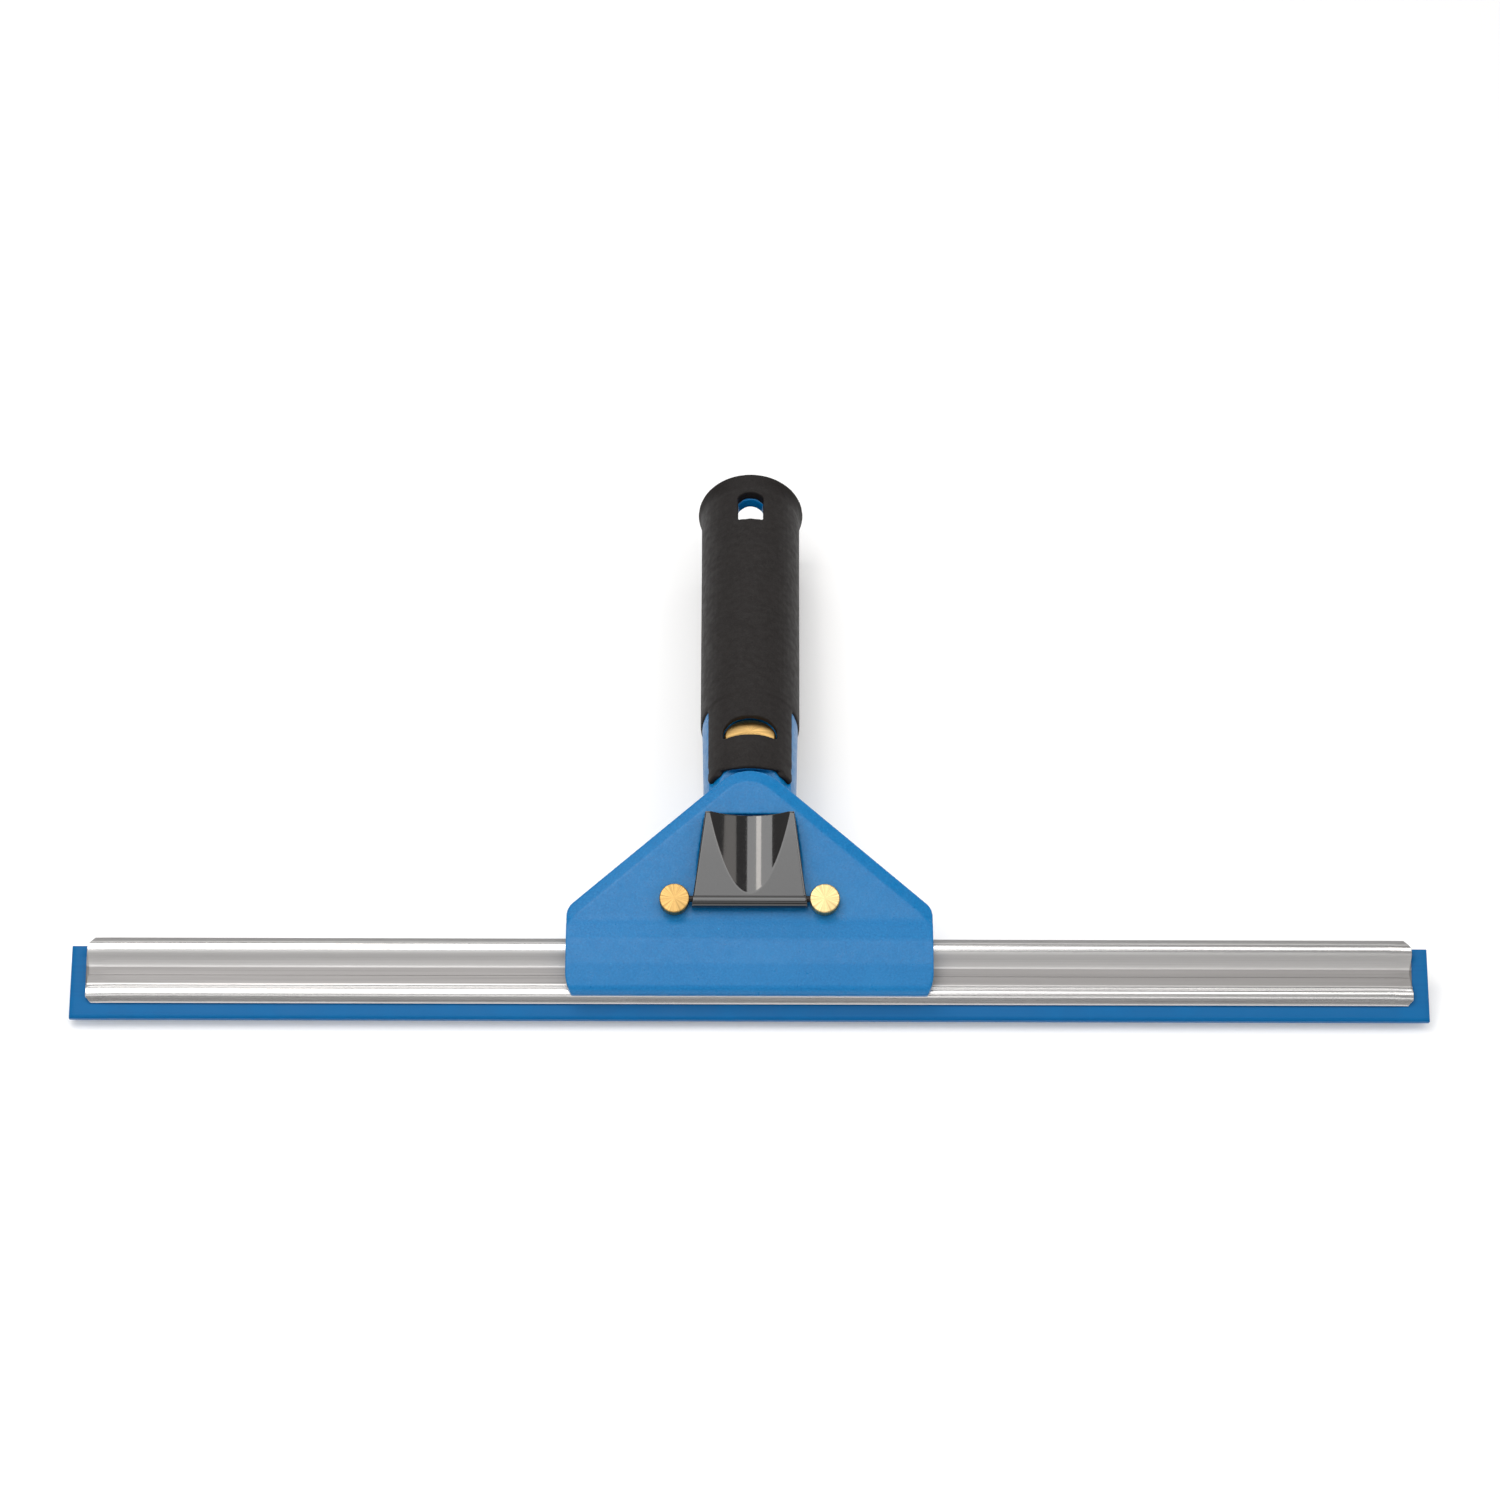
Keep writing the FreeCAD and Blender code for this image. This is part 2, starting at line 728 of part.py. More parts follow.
def coil_spring(name, frame, start_point, axis, length, coil_radius, wire_radius, turns):
    """A coil of round wire that stands on a point of one frame and runs along an axis."""
    feature = doc.addObject("Part::Feature", name)
    feature.Label = name
    lead = (length - 2 * wire_radius) / turns
    helix = Part.makeLongHelix(lead, length - 2 * wire_radius, coil_radius)
    start = Vector(coil_radius, 0, 0)
    tangent = Vector(0, 2 * math.pi * coil_radius, lead)
    section = Part.Wire(Part.makeCircle(wire_radius, start, tangent))
    pipe = Part.Wire(helix.Edges).makePipeShell([section], True, True)
    feature.Shape = pipe
    seat = Placement(start_point, Rotation(Vector(0, 0, 1), axis))
    place(frame * seat * Placement(Vector(0, 0, wire_radius), Rotation()), feature)
    NODES.append(feature)


def make_lever_pin():
    """Straight steel pin that ends inside both post heads."""
    body = new_body("lever_hinge_pin")
    sketch = new_sketch(body, "YZ")
    circle(sketch, D["post_up"], D["pin_out"], D["pin_round"])
    pad(body, sketch, (D["post_side"] - 2.5) * 2, symmetric=True)
    bevel_edges(body, 0.25, lambda point, edge: abs(point.x) > 22)
    return body


def lever_plan(sketch, grow=0.0, low=30.0, high=0.5):
    """Trapezium of the lever, narrower at the thumb end, from one height to another."""
    foot, tip = D["lever_foot_half"], D["lever_top_half"]
    foot_up, tip_up = 37.0, D["lever_top_up"]
    taper = (foot - tip) / (tip_up - foot_up)
    top_up = tip_up + high
    top_half = tip - taper * high + grow
    if low < foot_up:
        loop(sketch, [(-foot - grow, low), (foot + grow, low), (foot + grow, foot_up),
                      (top_half, top_up), (-top_half, top_up), (-foot - grow, foot_up)])
    else:
        low_half = foot - taper * (low - foot_up) + grow
        loop(sketch, [(-low_half, low), (low_half, low), (top_half, top_up),
                      (-top_half, top_up)])


def make_release_lever():
    """Tapered lever: a barrel on the pin, a fulcrum flat, and a scooped thumb groove."""
    body = new_body("release_lever")
    up, out, under = D["post_up"], D["pin_out"], D["lever_under"]
    top, barrel = D["lever_top_up"], D["barrel_round"]
    fulcrum_up = 48.5
    face_low = (up + 0.2, under + 5.5)
    face_high = (top - 0.4, under + 7.5)
    section = new_sketch(body, "YZ")
    loop(section, [
        (up, under), (fulcrum_up, under), (top, under + 1.3), (top + 0.3, under + 7.0),
        face_high, face_low, (up, out),
    ])
    pad(body, section, D["lever_foot_half"] * 2, symmetric=True)
    roll = new_sketch(body, "YZ")
    circle(roll, up - 0.6, under + barrel + 0.1, barrel)
    pad(body, roll, D["lever_foot_half"] * 2, symmetric=True)
    keep_inside(body, lever_plan, 0.0, 30.0)
    round_edges(body, 0.6, lambda point, edge: under.value + 4.8 < point.z
                and abs(point.x) > 12 and 45 < point.y < 68)
    # a fine groove divides the face from the barrel
    parting = new_sketch(body, "YZ")
    loop(parting, [(up - 0.7, under + 6.0), (up - 0.1, under + 4.7), (up + 0.3, under + 6.0)])
    pocket(body, parting, D["lever_foot_half"] * 2 + 1.0, symmetric=True)
    # the thumb groove is part of a cylinder that runs out towards the barrel
    radius = 20.5
    fall = 6.8
    start_up, start_out = up + 1.1, under + 5.6
    groove = body.newObject("PartDesign::SubtractiveCylinder", "thumb_groove")
    groove.Radius = radius
    groove.Height = 60.0
    slope = math.radians(fall)
    lift = Vector(0, math.sin(slope), math.cos(slope)) * radius
    back = Vector(0, math.cos(slope), -math.sin(slope)) * 25.0
    groove.Placement = Placement(
        Vector(0, start_up.value, start_out.value) + lift - back,
        Rotation(Vector(1, 0, 0), -90.0 - fall),
    )
    doc.recompute()
    hole = new_sketch(body, "YZ")
    circle(hole, up, out, D["pin_round"] + D["fit_gap"])
    pocket(body, hole, D["lever_foot_half"] * 2 + 4.0, symmetric=True)
    return body


# ---------------------------------------------------------------- the pivot

def make_detent_ring():
    """Notched steel ring on the boss, which the lock bar's end drops into."""
    pivot, notches = D["pivot_up"], 18
    notch_round, notch_circle = 1.1, 9.6
    body = ring("detent_ring", 9.4, 4.2, -9.6, -6.6, 0.0, pivot)
    sketch = new_sketch(body, "XY", -9.7)
    for index in range(notches):
        angle = math.radians(90 + index * 360 / notches)
        circle(sketch, notch_circle * math.cos(angle), pivot + notch_circle * math.sin(angle),
               notch_round)
    extrude(body, "Pocket", sketch, 3.2, False, True)
    doc.recompute()
    return body


def make_disc_spring():
    """Dished spring washer that presses the two halves of the pivot together."""
    pivot = D["pivot_up"]
    body = new_body("disc_spring")
    section = new_sketch(body, "YZ")
    loop(section, [(pivot + 6.3, -6.5), (pivot + 9.0, -6.1), (pivot + 9.0, -5.8),
                   (pivot + 6.3, -6.2)])
    feature = body.newObject("PartDesign::Revolution", "disc_turn")
    feature.Profile = section
    feature.ReferenceAxis = (new_axis(body, pivot), [""])
    bind(feature, "Angle", 360.0)
    doc.recompute()
    return body


def make_pivot_washer():
    """Plain washer under the pivot screw's head."""
    return ring("pivot_washer", 7.6, 2.05, -10.8, -9.6, 0.0, D["pivot_up"])


def make_pivot_screw():
    """The screw that holds the pivot together, driven into the head's boss."""
    low, thread_end, shank = -13.0, 2.4, 1.98
    head_round, head_tall, slot = 4.2, 2.2, 1.0
    shape = screw_shape(0.0, D["pivot_up"].value, low, thread_end, shank, head_round,
                        head_tall, slot)
    return new_feature("pivot_screw", shape)


def new_axis(body, pivot):
    """A datum line through the pivot, square to the head's face."""
    line = body.newObject("PartDesign::Line", f"{body.Name}_axis")
    line.MapMode = "Deactivated"
    line.Placement = Placement(Vector(0, pivot.value, 0), Rotation())
    line.setExpression("Placement.Base.y", pivot.text)
    doc.recompute()
    return line


# ---------------------------------------------------------------- the handle

def tongue_sector(body, kind, start, end, low, high, angle):
    """Part of a turned shell, centred on the handle's front."""
    sketch = new_sketch(body, "YZ")
    rectangle(sketch, start, end, low, high)
    return turn(body, sketch, kind, "H_Axis", angle)


def make_handle_core():
    """Blue moulding: the hub under the head, the neck and the tube with the pole socket."""
    body = new_body("handle_core")
    bend, hub, out = D["bend_angle"], D["hub_round"], D["axis_out"]
    start, end = D["grip_start"], D["grip_end"] - 2.0
    section = new_sketch(body, "YZ")
    loop(section, [
        (-22.0, 0.0), (end, 0.0), (end, D["tube_round"]), (start, D["tube_round"]),
        (start, D["neck_high_round"]), (6.0, D["neck_low_round"]), (-22.0, D["neck_low_round"]),
    ])
    turn(body, section)
    # round the lower end about the pivot
    rounding = new_sketch(body, "XY", -40.0, bend)
    loop(rounding, [(-40.0, 0.0), (-40.0, -60.0), (40.0, -60.0), (40.0, 0.0),
                    (hub, 0.0, -hub), (0.0, -hub, -hub), (-hub, 0.0)])
    pocket(body, rounding, 80.0, reverse=True)
    hub_floor = -12.5 - out
    drum(body, hub, hub_floor, 3.3 - out, 0.0, 0.0, bend)
    # flat landing under the head's plate
    block_cut(body, "XY", 3.3 - out, 40.0, -40.0, 40.0, -60.0, 15.9, bend)
    # pivot bore and its counterbore from behind
    bore(body, 7.5, -7.0 - out, 6.0 - out, 0.0, 0.0, bend)
    bore(body, D["counterbore"], -40.0, -5.7 - out, 0.0, 0.0, bend)
    # seat of the grip's tongue
    tongue_sector(body, "Groove", D["tongue_start"] - 6.0, start + 0.1, D["tongue_under"], 22.0,
                  D["tongue_angle"])
    # button well, its bush hole and the lock cavity
    along = D["button_along"]
    bore(body, 9.35, 6.0, 22.0, 0.0, along)
    bore(body, 5.0, 2.9, 8.0, 0.0, along)
    block_cut(body, "XY", -8.8, 11.8, -7.0, 7.0, 19.5, 43.0)
    block_cut(body, "XY", -15.5, 8.0, -6.4, 6.4, 26.6, 43.0)
    cover_seat = new_sketch(body, "YZ")
    rectangle(cover_seat, 26.0, 43.6, -19.0, -13.2)
    turn(body, cover_seat, "Groove", "H_Axis", 56.0)
    # bar guide hole, spring hole and the pole socket
    long_bore(body, 4.2, 8.0, 20.0)
    long_bore(body, 3.3, 42.0, 52.0, -3.6)
    long_bore(body, D["socket_round"], end - D["socket_depth"], end + 1.0)
    catch_slot(body, 6.0)
    return body


def catch_slot(body, low):
    """Slot through the front wall of the socket, square below and arched towards the end."""
    half = 4.6
    sketch = new_sketch(body, "XY", low)
    loop(sketch, [(-half, 144.8), (half, 144.8), (half, 158.0, 5.2), (-half, 158.0)])
    return pocket(body, sketch, 20.0, reverse=True)


def make_grip_sleeve():
    """Black rubber: sleeve, flared end rim, and the tongue with the button's window."""
    body = new_body("grip_sleeve")
    start, end, rim = D["grip_start"], D["grip_end"], D["rim_round"]
    tube = D["tube_round"]
    section = new_sketch(body, "YZ")
    loop(section, [
        (start, tube), (end - 2.0, tube), (end - 2.0, D["socket_round"] + 0.6),
        (end, D["socket_round"] + 0.6), (end, rim - 0.5), (end - 0.5, rim), (end - 1.2, rim, -14.0),
        (end - 8.5, 18.3), (end - 30.0, 18.1), (90.0, 17.8), (start + 1.0, 17.5),
        (start, 17.2),
    ])
    turn(body, section)
    tongue = new_sketch(body, "YZ")
    loop(tongue, [(D["tongue_start"] - 6.0, D["tongue_under"]), (start + 0.1, D["tongue_under"]),
                  (start + 0.1, 17.3), (D["tongue_start"] - 6.0, 16.75)])
    turn(body, tongue, "Revolution", "H_Axis", D["tongue_angle"])
    block_cut(body, "XY", 3.3 - D["axis_out"], 40.0, -40.0, 40.0, -60.0, 15.9, D["bend_angle"])
    block_cut(body, "XY", -5.0, 40.0, -40.0, 40.0, -60.0, 9.4)
    # window over the button, open above it and with a lip across its lower third
    along = D["button_along"]
    window = new_sketch(body, "XY", 6.0)
    loop(window, [(-9.3, 25.8), (9.3, 25.8), (9.3, 30.2, 6.0), (5.2, 35.0, 30.0), (-5.2, 35.0, 6.0),
                  (-9.3, 30.2)])
    pocket(body, window, 20.0, reverse=True)
    relief = new_sketch(body, "YZ")
    rectangle(relief, along - 9.6, along, 12.0, 16.0)
    turn(body, relief, "Groove", "H_Axis", 76.0)
    catch_slot(body, 6.0)
    return body


def make_lock_button():
    """Domed brass button with a stem, a clip groove and a wedge at its foot."""
    body = new_body("lock_button")
    edge, stem = D["button_round"], 3.6
    cap = new_sketch(body, "YZ")
    loop(cap, [(0.0, 11.2), (edge, 11.2), (edge, 12.8), (edge - 0.5, 13.3, 19.5),
               (0.5, 15.3), (0.0, 15.3)])
    feature = body.newObject("PartDesign::Revolution", "button_turn")
    feature.Profile = cap
    feature.ReferenceAxis = (cap, ["V_Axis"])
    bind(feature, "Angle", 360.0)
    doc.recompute()
    sketch = new_sketch(body, "XY", -5.0)
    circle(sketch, 0.0, 0.0, stem)
    pad(body, sketch, 16.4)
    neck = new_sketch(body, "XY", 1.7)
    circle(neck, 0.0, 0.0, stem + 0.9)
    circle(neck, 0.0, 0.0, stem - 0.6)
    pocket(body, neck, 0.8, reverse=True)
    wedge = new_sketch(body, "YZ")
    loop(wedge, [(-0.2, -5.2), (6.0, -5.2), (6.0, 1.0)])
    pocket(body, wedge, 12.0, symmetric=True)
    return body


def make_button_ring():
    """Open clip in the stem's groove that keeps the button from coming out."""
    body = new_body("button_ring")
    sketch = new_sketch(body, "XY", 1.75)
    circle(sketch, 0.0, 0.0, 5.2)
    circle(sketch, 0.0, 0.0, 3.0)
    pad(body, sketch, 0.7)
    block_cut(body, "XY", 1.0, 2.0, -1.6, 1.6, -6.0, -1.0)
    return body


def make_lock_bar():
    """Sliding bar: a round nose for the ring's notches and a yoke round the button's wedge."""
    along, nose = D["button_along"], D["bar_round"]
    yoke_low, yoke_high, floor = 19.8, 38.4, -5.8
    body = new_body("lock_bar")
    rod = new_sketch(body, "XZ", -20.7)
    circle(rod, 0.0, 0.0, nose)
    pad(body, rod, 11.5)
    block_cut(body, "XY", -12.0, 24.0, -6.0, 6.0, -10.0, 9.75, D["bend_angle"])
    link = new_sketch(body, "XY", floor)
    rectangle(link, -2.2, 2.2, yoke_low, 22.0)
    pad(body, link, 5.0)
    yoke = new_sketch(body, "XY", floor)
    rectangle(yoke, -6.3, 6.3, yoke_low, yoke_high)
    pad(body, yoke, 4.4)
    window = new_sketch(body, "YZ")
    loop(window, [(22.0, -6.0), (along - 0.7, -6.0), (along + 4.1, -1.2), (22.0, -1.2)])
    pocket(body, window, 8.4, symmetric=True)
    tail = new_sketch(body, "XZ", -42.4)
    circle(tail, 0.0, -3.6, 1.5)
    pad(body, tail, 4.2)
    return body


def make_bar_guide():
    """Nylon sleeve that the bar's nose slides in."""
    body = new_body("bar_guide")
    sketch = new_sketch(body, "XZ", -19.4)
    circle(sketch, 0.0, 0.0, 4.2)
    circle(sketch, 0.0, 0.0, D["bar_round"] + D["fit_gap"])
    pad(body, sketch, 5.2)
    return body


def make_lock_cover():
    """Curved lid that closes the lock's cavity at the back of the neck."""
    body = new_body("lock_cover")
    shell = new_sketch(body, "YZ")
    loop(shell, [(26.1, -13.3), (26.1, -16.25), (43.5, -16.75), (43.5, -13.3)])
    turn(body, shell, "Revolution", "H_Axis", 55.4)
    return body


# ---------------------------------------------------------------- build, check and write

def build_head():
    """Everything that stands in the head frame."""
    place(HEAD_FRAME, make_rubber_blade(), make_steel_channel(), *make_end_clips())
    place(HEAD_FRAME, make_head_body(), make_seat_pads(), make_head_back_cover())
    place(HEAD_FRAME, make_cover_screws(), make_clamp_jaw(), make_jaw_pad())
    for side, name in ((-1, "left"), (1, "right")):
        place(HEAD_FRAME, make_clamp_post(f"{name}_clamp_post", side))
        foot = Vector(side * D["post_side"].value, D["post_up"].value, -2.85)
        coil_spring(f"{name}_clamp_spring", HEAD_FRAME, foot, Vector(0, 0, 1),
                    length=7.8, coil_radius=3.5, wire_radius=0.4, turns=4.5)
    place(HEAD_FRAME, make_post_nuts(), make_lever_pin(), make_release_lever())
    place(HEAD_FRAME, make_detent_ring(), make_disc_spring())
    place(HEAD_FRAME, make_pivot_washer(), make_pivot_screw())


def build_handle():
    """Everything that stands in the handle frame."""
    bend, out = D["bend_angle"], D["axis_out"]
    along = D["button_along"].value
    bush = ring("pivot_bush", 7.5, D["boss_round"] + D["fit_gap"], -5.7 - out, 3.2 - out,
                0.0, 0.0, bend)
    cap = new_body("hub_cap")
    drum(cap, D["counterbore"] - 0.05, -16.4 - out, -14.4 - out, 0.0, 0.0, bend)
    place(HANDLE_FRAME, make_handle_core(), make_grip_sleeve(), bush, cap)
    button_bush = ring("button_bush", 5.0, 3.65, 2.9, 7.0, 0.0, along)
    place(HANDLE_FRAME, button_bush, make_lock_bar(), make_bar_guide(), make_lock_cover())
    centred = HANDLE_FRAME * Placement(Vector(0, along, 0), Rotation())
    place(centred, make_lock_button(), make_button_ring())
    coil_spring("button_spring", HANDLE_FRAME, Vector(0, along, 7.05), Vector(0, 0, 1),
                length=4.1, coil_radius=4.4, wire_radius=0.35, turns=3.0)
    coil_spring("lock_bar_spring", HANDLE_FRAME, Vector(0, 38.5, -3.6), Vector(0, 1, 0),
                length=13.3, coil_radius=2.3, wire_radius=0.35, turns=7.0)


def check_and_write():
    """Stop on any failed feature or bad shape, then write one file for each node."""
    doc.recompute()
    for item in doc.Objects:
        if "Invalid" in item.State or "Error" in item.State:
            raise RuntimeError(f"{item.Name} failed: {item.State}")
    os.makedirs("parts", exist_ok=True)
    for node in NODES:
        shape = node.Shape
        if shape.isNull() or not shape.isValid():
            raise RuntimeError(f"{node.Label} has no valid shape")
        print(f"{node.Label:20s} solids {len(shape.Solids)} volume {shape.Volume:10.1f}")
        shape.exportStep(f"parts/{node.Label}.step")


build_head()
build_handle()
check_and_write()
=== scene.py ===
"""The looks of the window squeegee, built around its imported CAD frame.

Lengths are in metres. X runs along the wiping edge, Y from that edge back to the grip's end.
"""
import bmesh
import bpy
import json
import math
from mathutils import Matrix, Vector, noise

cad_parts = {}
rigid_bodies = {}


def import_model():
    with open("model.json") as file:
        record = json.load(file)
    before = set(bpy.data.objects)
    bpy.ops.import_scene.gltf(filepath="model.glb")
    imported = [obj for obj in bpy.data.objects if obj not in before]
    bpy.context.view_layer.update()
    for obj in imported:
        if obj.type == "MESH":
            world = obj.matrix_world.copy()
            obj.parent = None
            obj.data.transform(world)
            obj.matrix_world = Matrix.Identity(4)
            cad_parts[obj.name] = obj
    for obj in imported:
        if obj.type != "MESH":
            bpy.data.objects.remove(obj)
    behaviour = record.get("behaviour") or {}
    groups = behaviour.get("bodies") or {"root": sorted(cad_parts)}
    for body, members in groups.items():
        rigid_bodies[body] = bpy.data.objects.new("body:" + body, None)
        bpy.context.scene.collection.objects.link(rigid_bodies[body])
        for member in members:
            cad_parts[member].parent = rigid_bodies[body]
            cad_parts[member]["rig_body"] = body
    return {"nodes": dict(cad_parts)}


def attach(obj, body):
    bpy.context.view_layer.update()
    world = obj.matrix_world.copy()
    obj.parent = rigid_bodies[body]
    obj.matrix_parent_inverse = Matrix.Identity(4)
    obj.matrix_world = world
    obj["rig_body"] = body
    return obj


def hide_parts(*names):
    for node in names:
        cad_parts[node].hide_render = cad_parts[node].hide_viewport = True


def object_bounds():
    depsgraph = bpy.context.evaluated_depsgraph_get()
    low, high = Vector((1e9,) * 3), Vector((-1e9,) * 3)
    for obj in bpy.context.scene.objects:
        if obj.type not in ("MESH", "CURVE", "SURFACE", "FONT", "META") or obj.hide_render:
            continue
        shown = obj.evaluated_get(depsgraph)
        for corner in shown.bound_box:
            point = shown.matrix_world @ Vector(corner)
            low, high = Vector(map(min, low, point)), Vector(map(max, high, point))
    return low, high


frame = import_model()
cad_low, cad_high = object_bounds()

MM = 0.001

# The head's own frame: Y runs up the head from the wiping edge, Z stands out of its face.
HEAD_ORIGIN = Vector((0.0, -117.0443, 1.15574)) * MM
HEAD_TILT = math.radians(27.248)
HEAD = Matrix.Translation(HEAD_ORIGIN) @ Matrix.Rotation(HEAD_TILT, 4, "X")
# The handle's own frame: Y runs along the grip from the pivot, Z stands out of its front.
HANDLE_ORIGIN = Vector((0.0, -53.0585, 32.4207)) * MM
HANDLE_TILT = math.radians(-4.352)
HANDLE = Matrix.Translation(HANDLE_ORIGIN) @ Matrix.Rotation(HANDLE_TILT, 4, "X")

# In mm: the posts' height up the head, each one's side and X, and the button's place along
# the grip.
POST_UP = 39.5
POST_PLACES = (("left", -25.5), ("right", 25.5))
BUTTON_ALONG = 28.6

# Sockets of a Mix node that blends colours.
MIX_A, MIX_B, MIX_RESULT = 6, 7, 2


# ---------------------------------------------------------------- materials
def linear(red, green, blue):
    """The linear colour of an 8-bit display colour."""
    def channel(value):
        value = value / 255
        return value / 12.92 if value <= 0.04045 else ((value + 0.055) / 1.055) ** 2.4
    return (channel(red), channel(green), channel(blue), 1.0)


class Surface:
    """A Principled material, with helpers that give it grain, tone and relief."""

    def __init__(self, name, colour, roughness, **constants):
        self.material = bpy.data.materials.new(name)
        self.material.use_nodes = True
        self.tree = self.material.node_tree
        self.shader = self.tree.nodes["Principled BSDF"]
        self.shader.inputs["Base Color"].default_value = colour
        self.shader.inputs["Roughness"].default_value = roughness
        for label, value in constants.items():
            self.shader.inputs[label.replace("_", " ")].default_value = value

    def node(self, kind, links=(), **settings):
        """A new node. Settings name its properties or sockets, and links feed its sockets."""
        made = self.tree.nodes.new("ShaderNode" + kind)
        for label, value in settings.items():
            if hasattr(made, label):
                setattr(made, label, value)
            else:
                made.inputs[label.replace("_", " ")].default_value = value
        for socket, source in dict(links).items():
            self.tree.links.new(source, made.inputs[socket])
        return made

    def points(self, scale=(1, 1, 1), origin=(0, 0, 0), tilt=0.0):
        """Points of the piece's own space, from an origin in a frame tilted about X."""
        coords = self.node("TexCoord").outputs["Object"]
        moved = self.node("VectorMath", {0: coords}, operation="SUBTRACT")
        moved.inputs[1].default_value = origin
        turned = self.node("Mapping", {"Vector": moved.outputs[0]})
        turned.inputs["Rotation"].default_value = (-tilt, 0, 0)
        sized = self.node("Mapping", {"Vector": turned.outputs[0]})
        sized.inputs["Scale"].default_value = scale
        return sized.outputs[0]

    def noise(self, points, scale, detail=3.0, roughness=0.5):
        """Soft noise from 0 to 1, with a number of features to the unit."""
        made = self.node("TexNoise", {"Vector": points}, Scale=scale, Detail=detail,
                         Roughness=roughness)
        return made.outputs["Fac"]

    def cells(self, points, scale):
        """The distance to the nearest of many scattered points."""
        made = self.node("TexVoronoi", {"Vector": points}, Scale=scale)
        return made.outputs["Distance"]

    def span(self, value, low, high, to_low=0.0, to_high=1.0):
        """A value stretched from one range to another, held at both ends."""
        made = self.node("MapRange", {"Value": value})
        for label, number in (("From Min", low), ("From Max", high),
                              ("To Min", to_low), ("To Max", to_high)):
            made.inputs[label].default_value = number
        return made.outputs[0]

    def math(self, first, second, kind):
        """Two values, or a value and a number, put together."""
        made = self.node("Math", {0: first}, operation=kind)
        if isinstance(second, (int, float)):
            made.inputs[1].default_value = second
        else:
            self.tree.links.new(second, made.inputs[1])
        return made.outputs[0]

    def tone(self, amount, colour):
        """Blend the base colour towards another one where the amount is high."""
        mixed = self.node("Mix", {"Factor": amount}, data_type="RGBA")
        base = self.shader.inputs["Base Color"]
        if base.is_linked:
            self.tree.links.new(base.links[0].from_socket, mixed.inputs[MIX_A])
        else:
            mixed.inputs[MIX_A].default_value = base.default_value
        mixed.inputs[MIX_B].default_value = colour
        self.tree.links.new(mixed.outputs[MIX_RESULT], base)

    def gloss(self, value, low, high):
        """Roughness that runs between two values."""
        self.tree.links.new(self.span(value, 0.3, 0.7, low, high),
                            self.shader.inputs["Roughness"])

    def relief(self, height, distance, strength=1.0):
        """Raise the surface by a height map, on top of any relief it has."""
        made = self.node("Bump", {"Height": height}, Distance=distance, Strength=strength)
        normal = self.shader.inputs["Normal"]
        if normal.is_linked:
            self.tree.links.new(normal.links[0].from_socket, made.inputs["Normal"])
        self.tree.links.new(made.outputs[0], normal)


def moulded(name, colour, dark, pale, roughness, grain=1500.0, specks=0.0, depth=0.06,
            shine=0.5):
    """Spark-textured plastic or rubber: fine grain, cloudy tone and a few pale specks."""
    surface = Surface(name, colour, roughness, Specular_IOR_Level=shine)
    here = surface.points()
    fine = surface.noise(here, grain, 4.0, 0.65)
    cloud = surface.noise(here, 45.0, 3.0)
    surface.tone(surface.span(fine, 0.52, 0.68, 0.0, 0.75), dark)
    surface.tone(surface.span(fine, 0.50, 0.34, 0.0, 0.70), pale)
    surface.tone(surface.span(cloud, 0.50, 0.72, 0.0, 0.30), pale)
    if specks:
        dust = surface.cells(here, 260.0)
        where = surface.noise(here, 90.0, 2.0)
        spot = surface.math(surface.span(dust, 0.10, 0.03),
                            surface.span(where, 0.60, 0.66), "MULTIPLY")
        surface.tone(surface.math(spot, specks, "MULTIPLY"), shade(pale, 3.0))
    surface.gloss(surface.noise(here, 380.0, 3.0), roughness - 0.06, roughness + 0.09)
    surface.relief(fine, depth * MM, 0.9)
    return surface


def shade(colour, factor):
    """A colour made lighter or darker."""
    return tuple(min(1.0, part * factor) for part in colour[:3]) + (1.0,)


def brushed(name, colour, roughness, along=9.0, across=2600.0):
    """Metal with a grain that runs along X."""
    surface = Surface(name, colour, roughness, Metallic=1.0)
    grain = surface.noise(surface.points((along, across, across)), 1.0, 3.0, 0.6)
    broad = surface.noise(surface.points((3.0, 260.0, 260.0)), 1.0, 3.0)
    surface.tone(surface.span(grain, 0.45, 0.75, 0.0, 0.35), shade(colour, 0.70))
    surface.tone(surface.span(broad, 0.48, 0.72, 0.0, 0.30), shade(colour, 0.82))
    surface.gloss(grain, roughness - 0.03, roughness + 0.08)
    surface.relief(grain, 0.004 * MM, 0.4)
    return surface


# How many tool rings a turned face has to the metre.
RINGS = 900.0


def turned_metal(name, colour, roughness, origin, tilt, streaks=7.0):
    """Metal faced on a lathe: fine rings, and radial streaks painted lighter and darker from
    the centre out, a painted reflection of how a turned face breaks up the light.
    """
    surface = Surface(name, colour, roughness, Metallic=1.0)
    split = surface.node("SeparateXYZ", {0: surface.points(origin=origin, tilt=tilt)})
    across, up = split.outputs[0], split.outputs[1]
    flat = surface.node("CombineXYZ", {0: across, 1: up})
    length = surface.node("VectorMath", {0: flat.outputs[0]}, operation="LENGTH")
    radius = length.outputs["Value"]
    unit = surface.node("VectorMath", {0: flat.outputs[0]}, operation="NORMALIZE")
    painted_reflection_rays = surface.noise(unit.outputs[0], streaks, 2.0, 0.6)
    groove = surface.math(surface.math(radius, RINGS * 2 * math.pi, "MULTIPLY"), 0.0, "SINE")
    # Painted reflection: the radial streaks are painted darker and lighter, standing in for the
    # bright and dark streaks of reflected light on a turned face.
    surface.tone(surface.span(painted_reflection_rays, 0.50, 0.66, 0.0, 0.75), shade(colour, 0.62))
    surface.tone(surface.span(painted_reflection_rays, 0.50, 0.36, 0.0, 0.75), shade(colour, 1.30))
    surface.tone(surface.span(groove, 0.6, 1.0, 0.0, 0.25), shade(colour, 0.80))
    surface.gloss(painted_reflection_rays, roughness - 0.05, roughness + 0.05)
    return surface


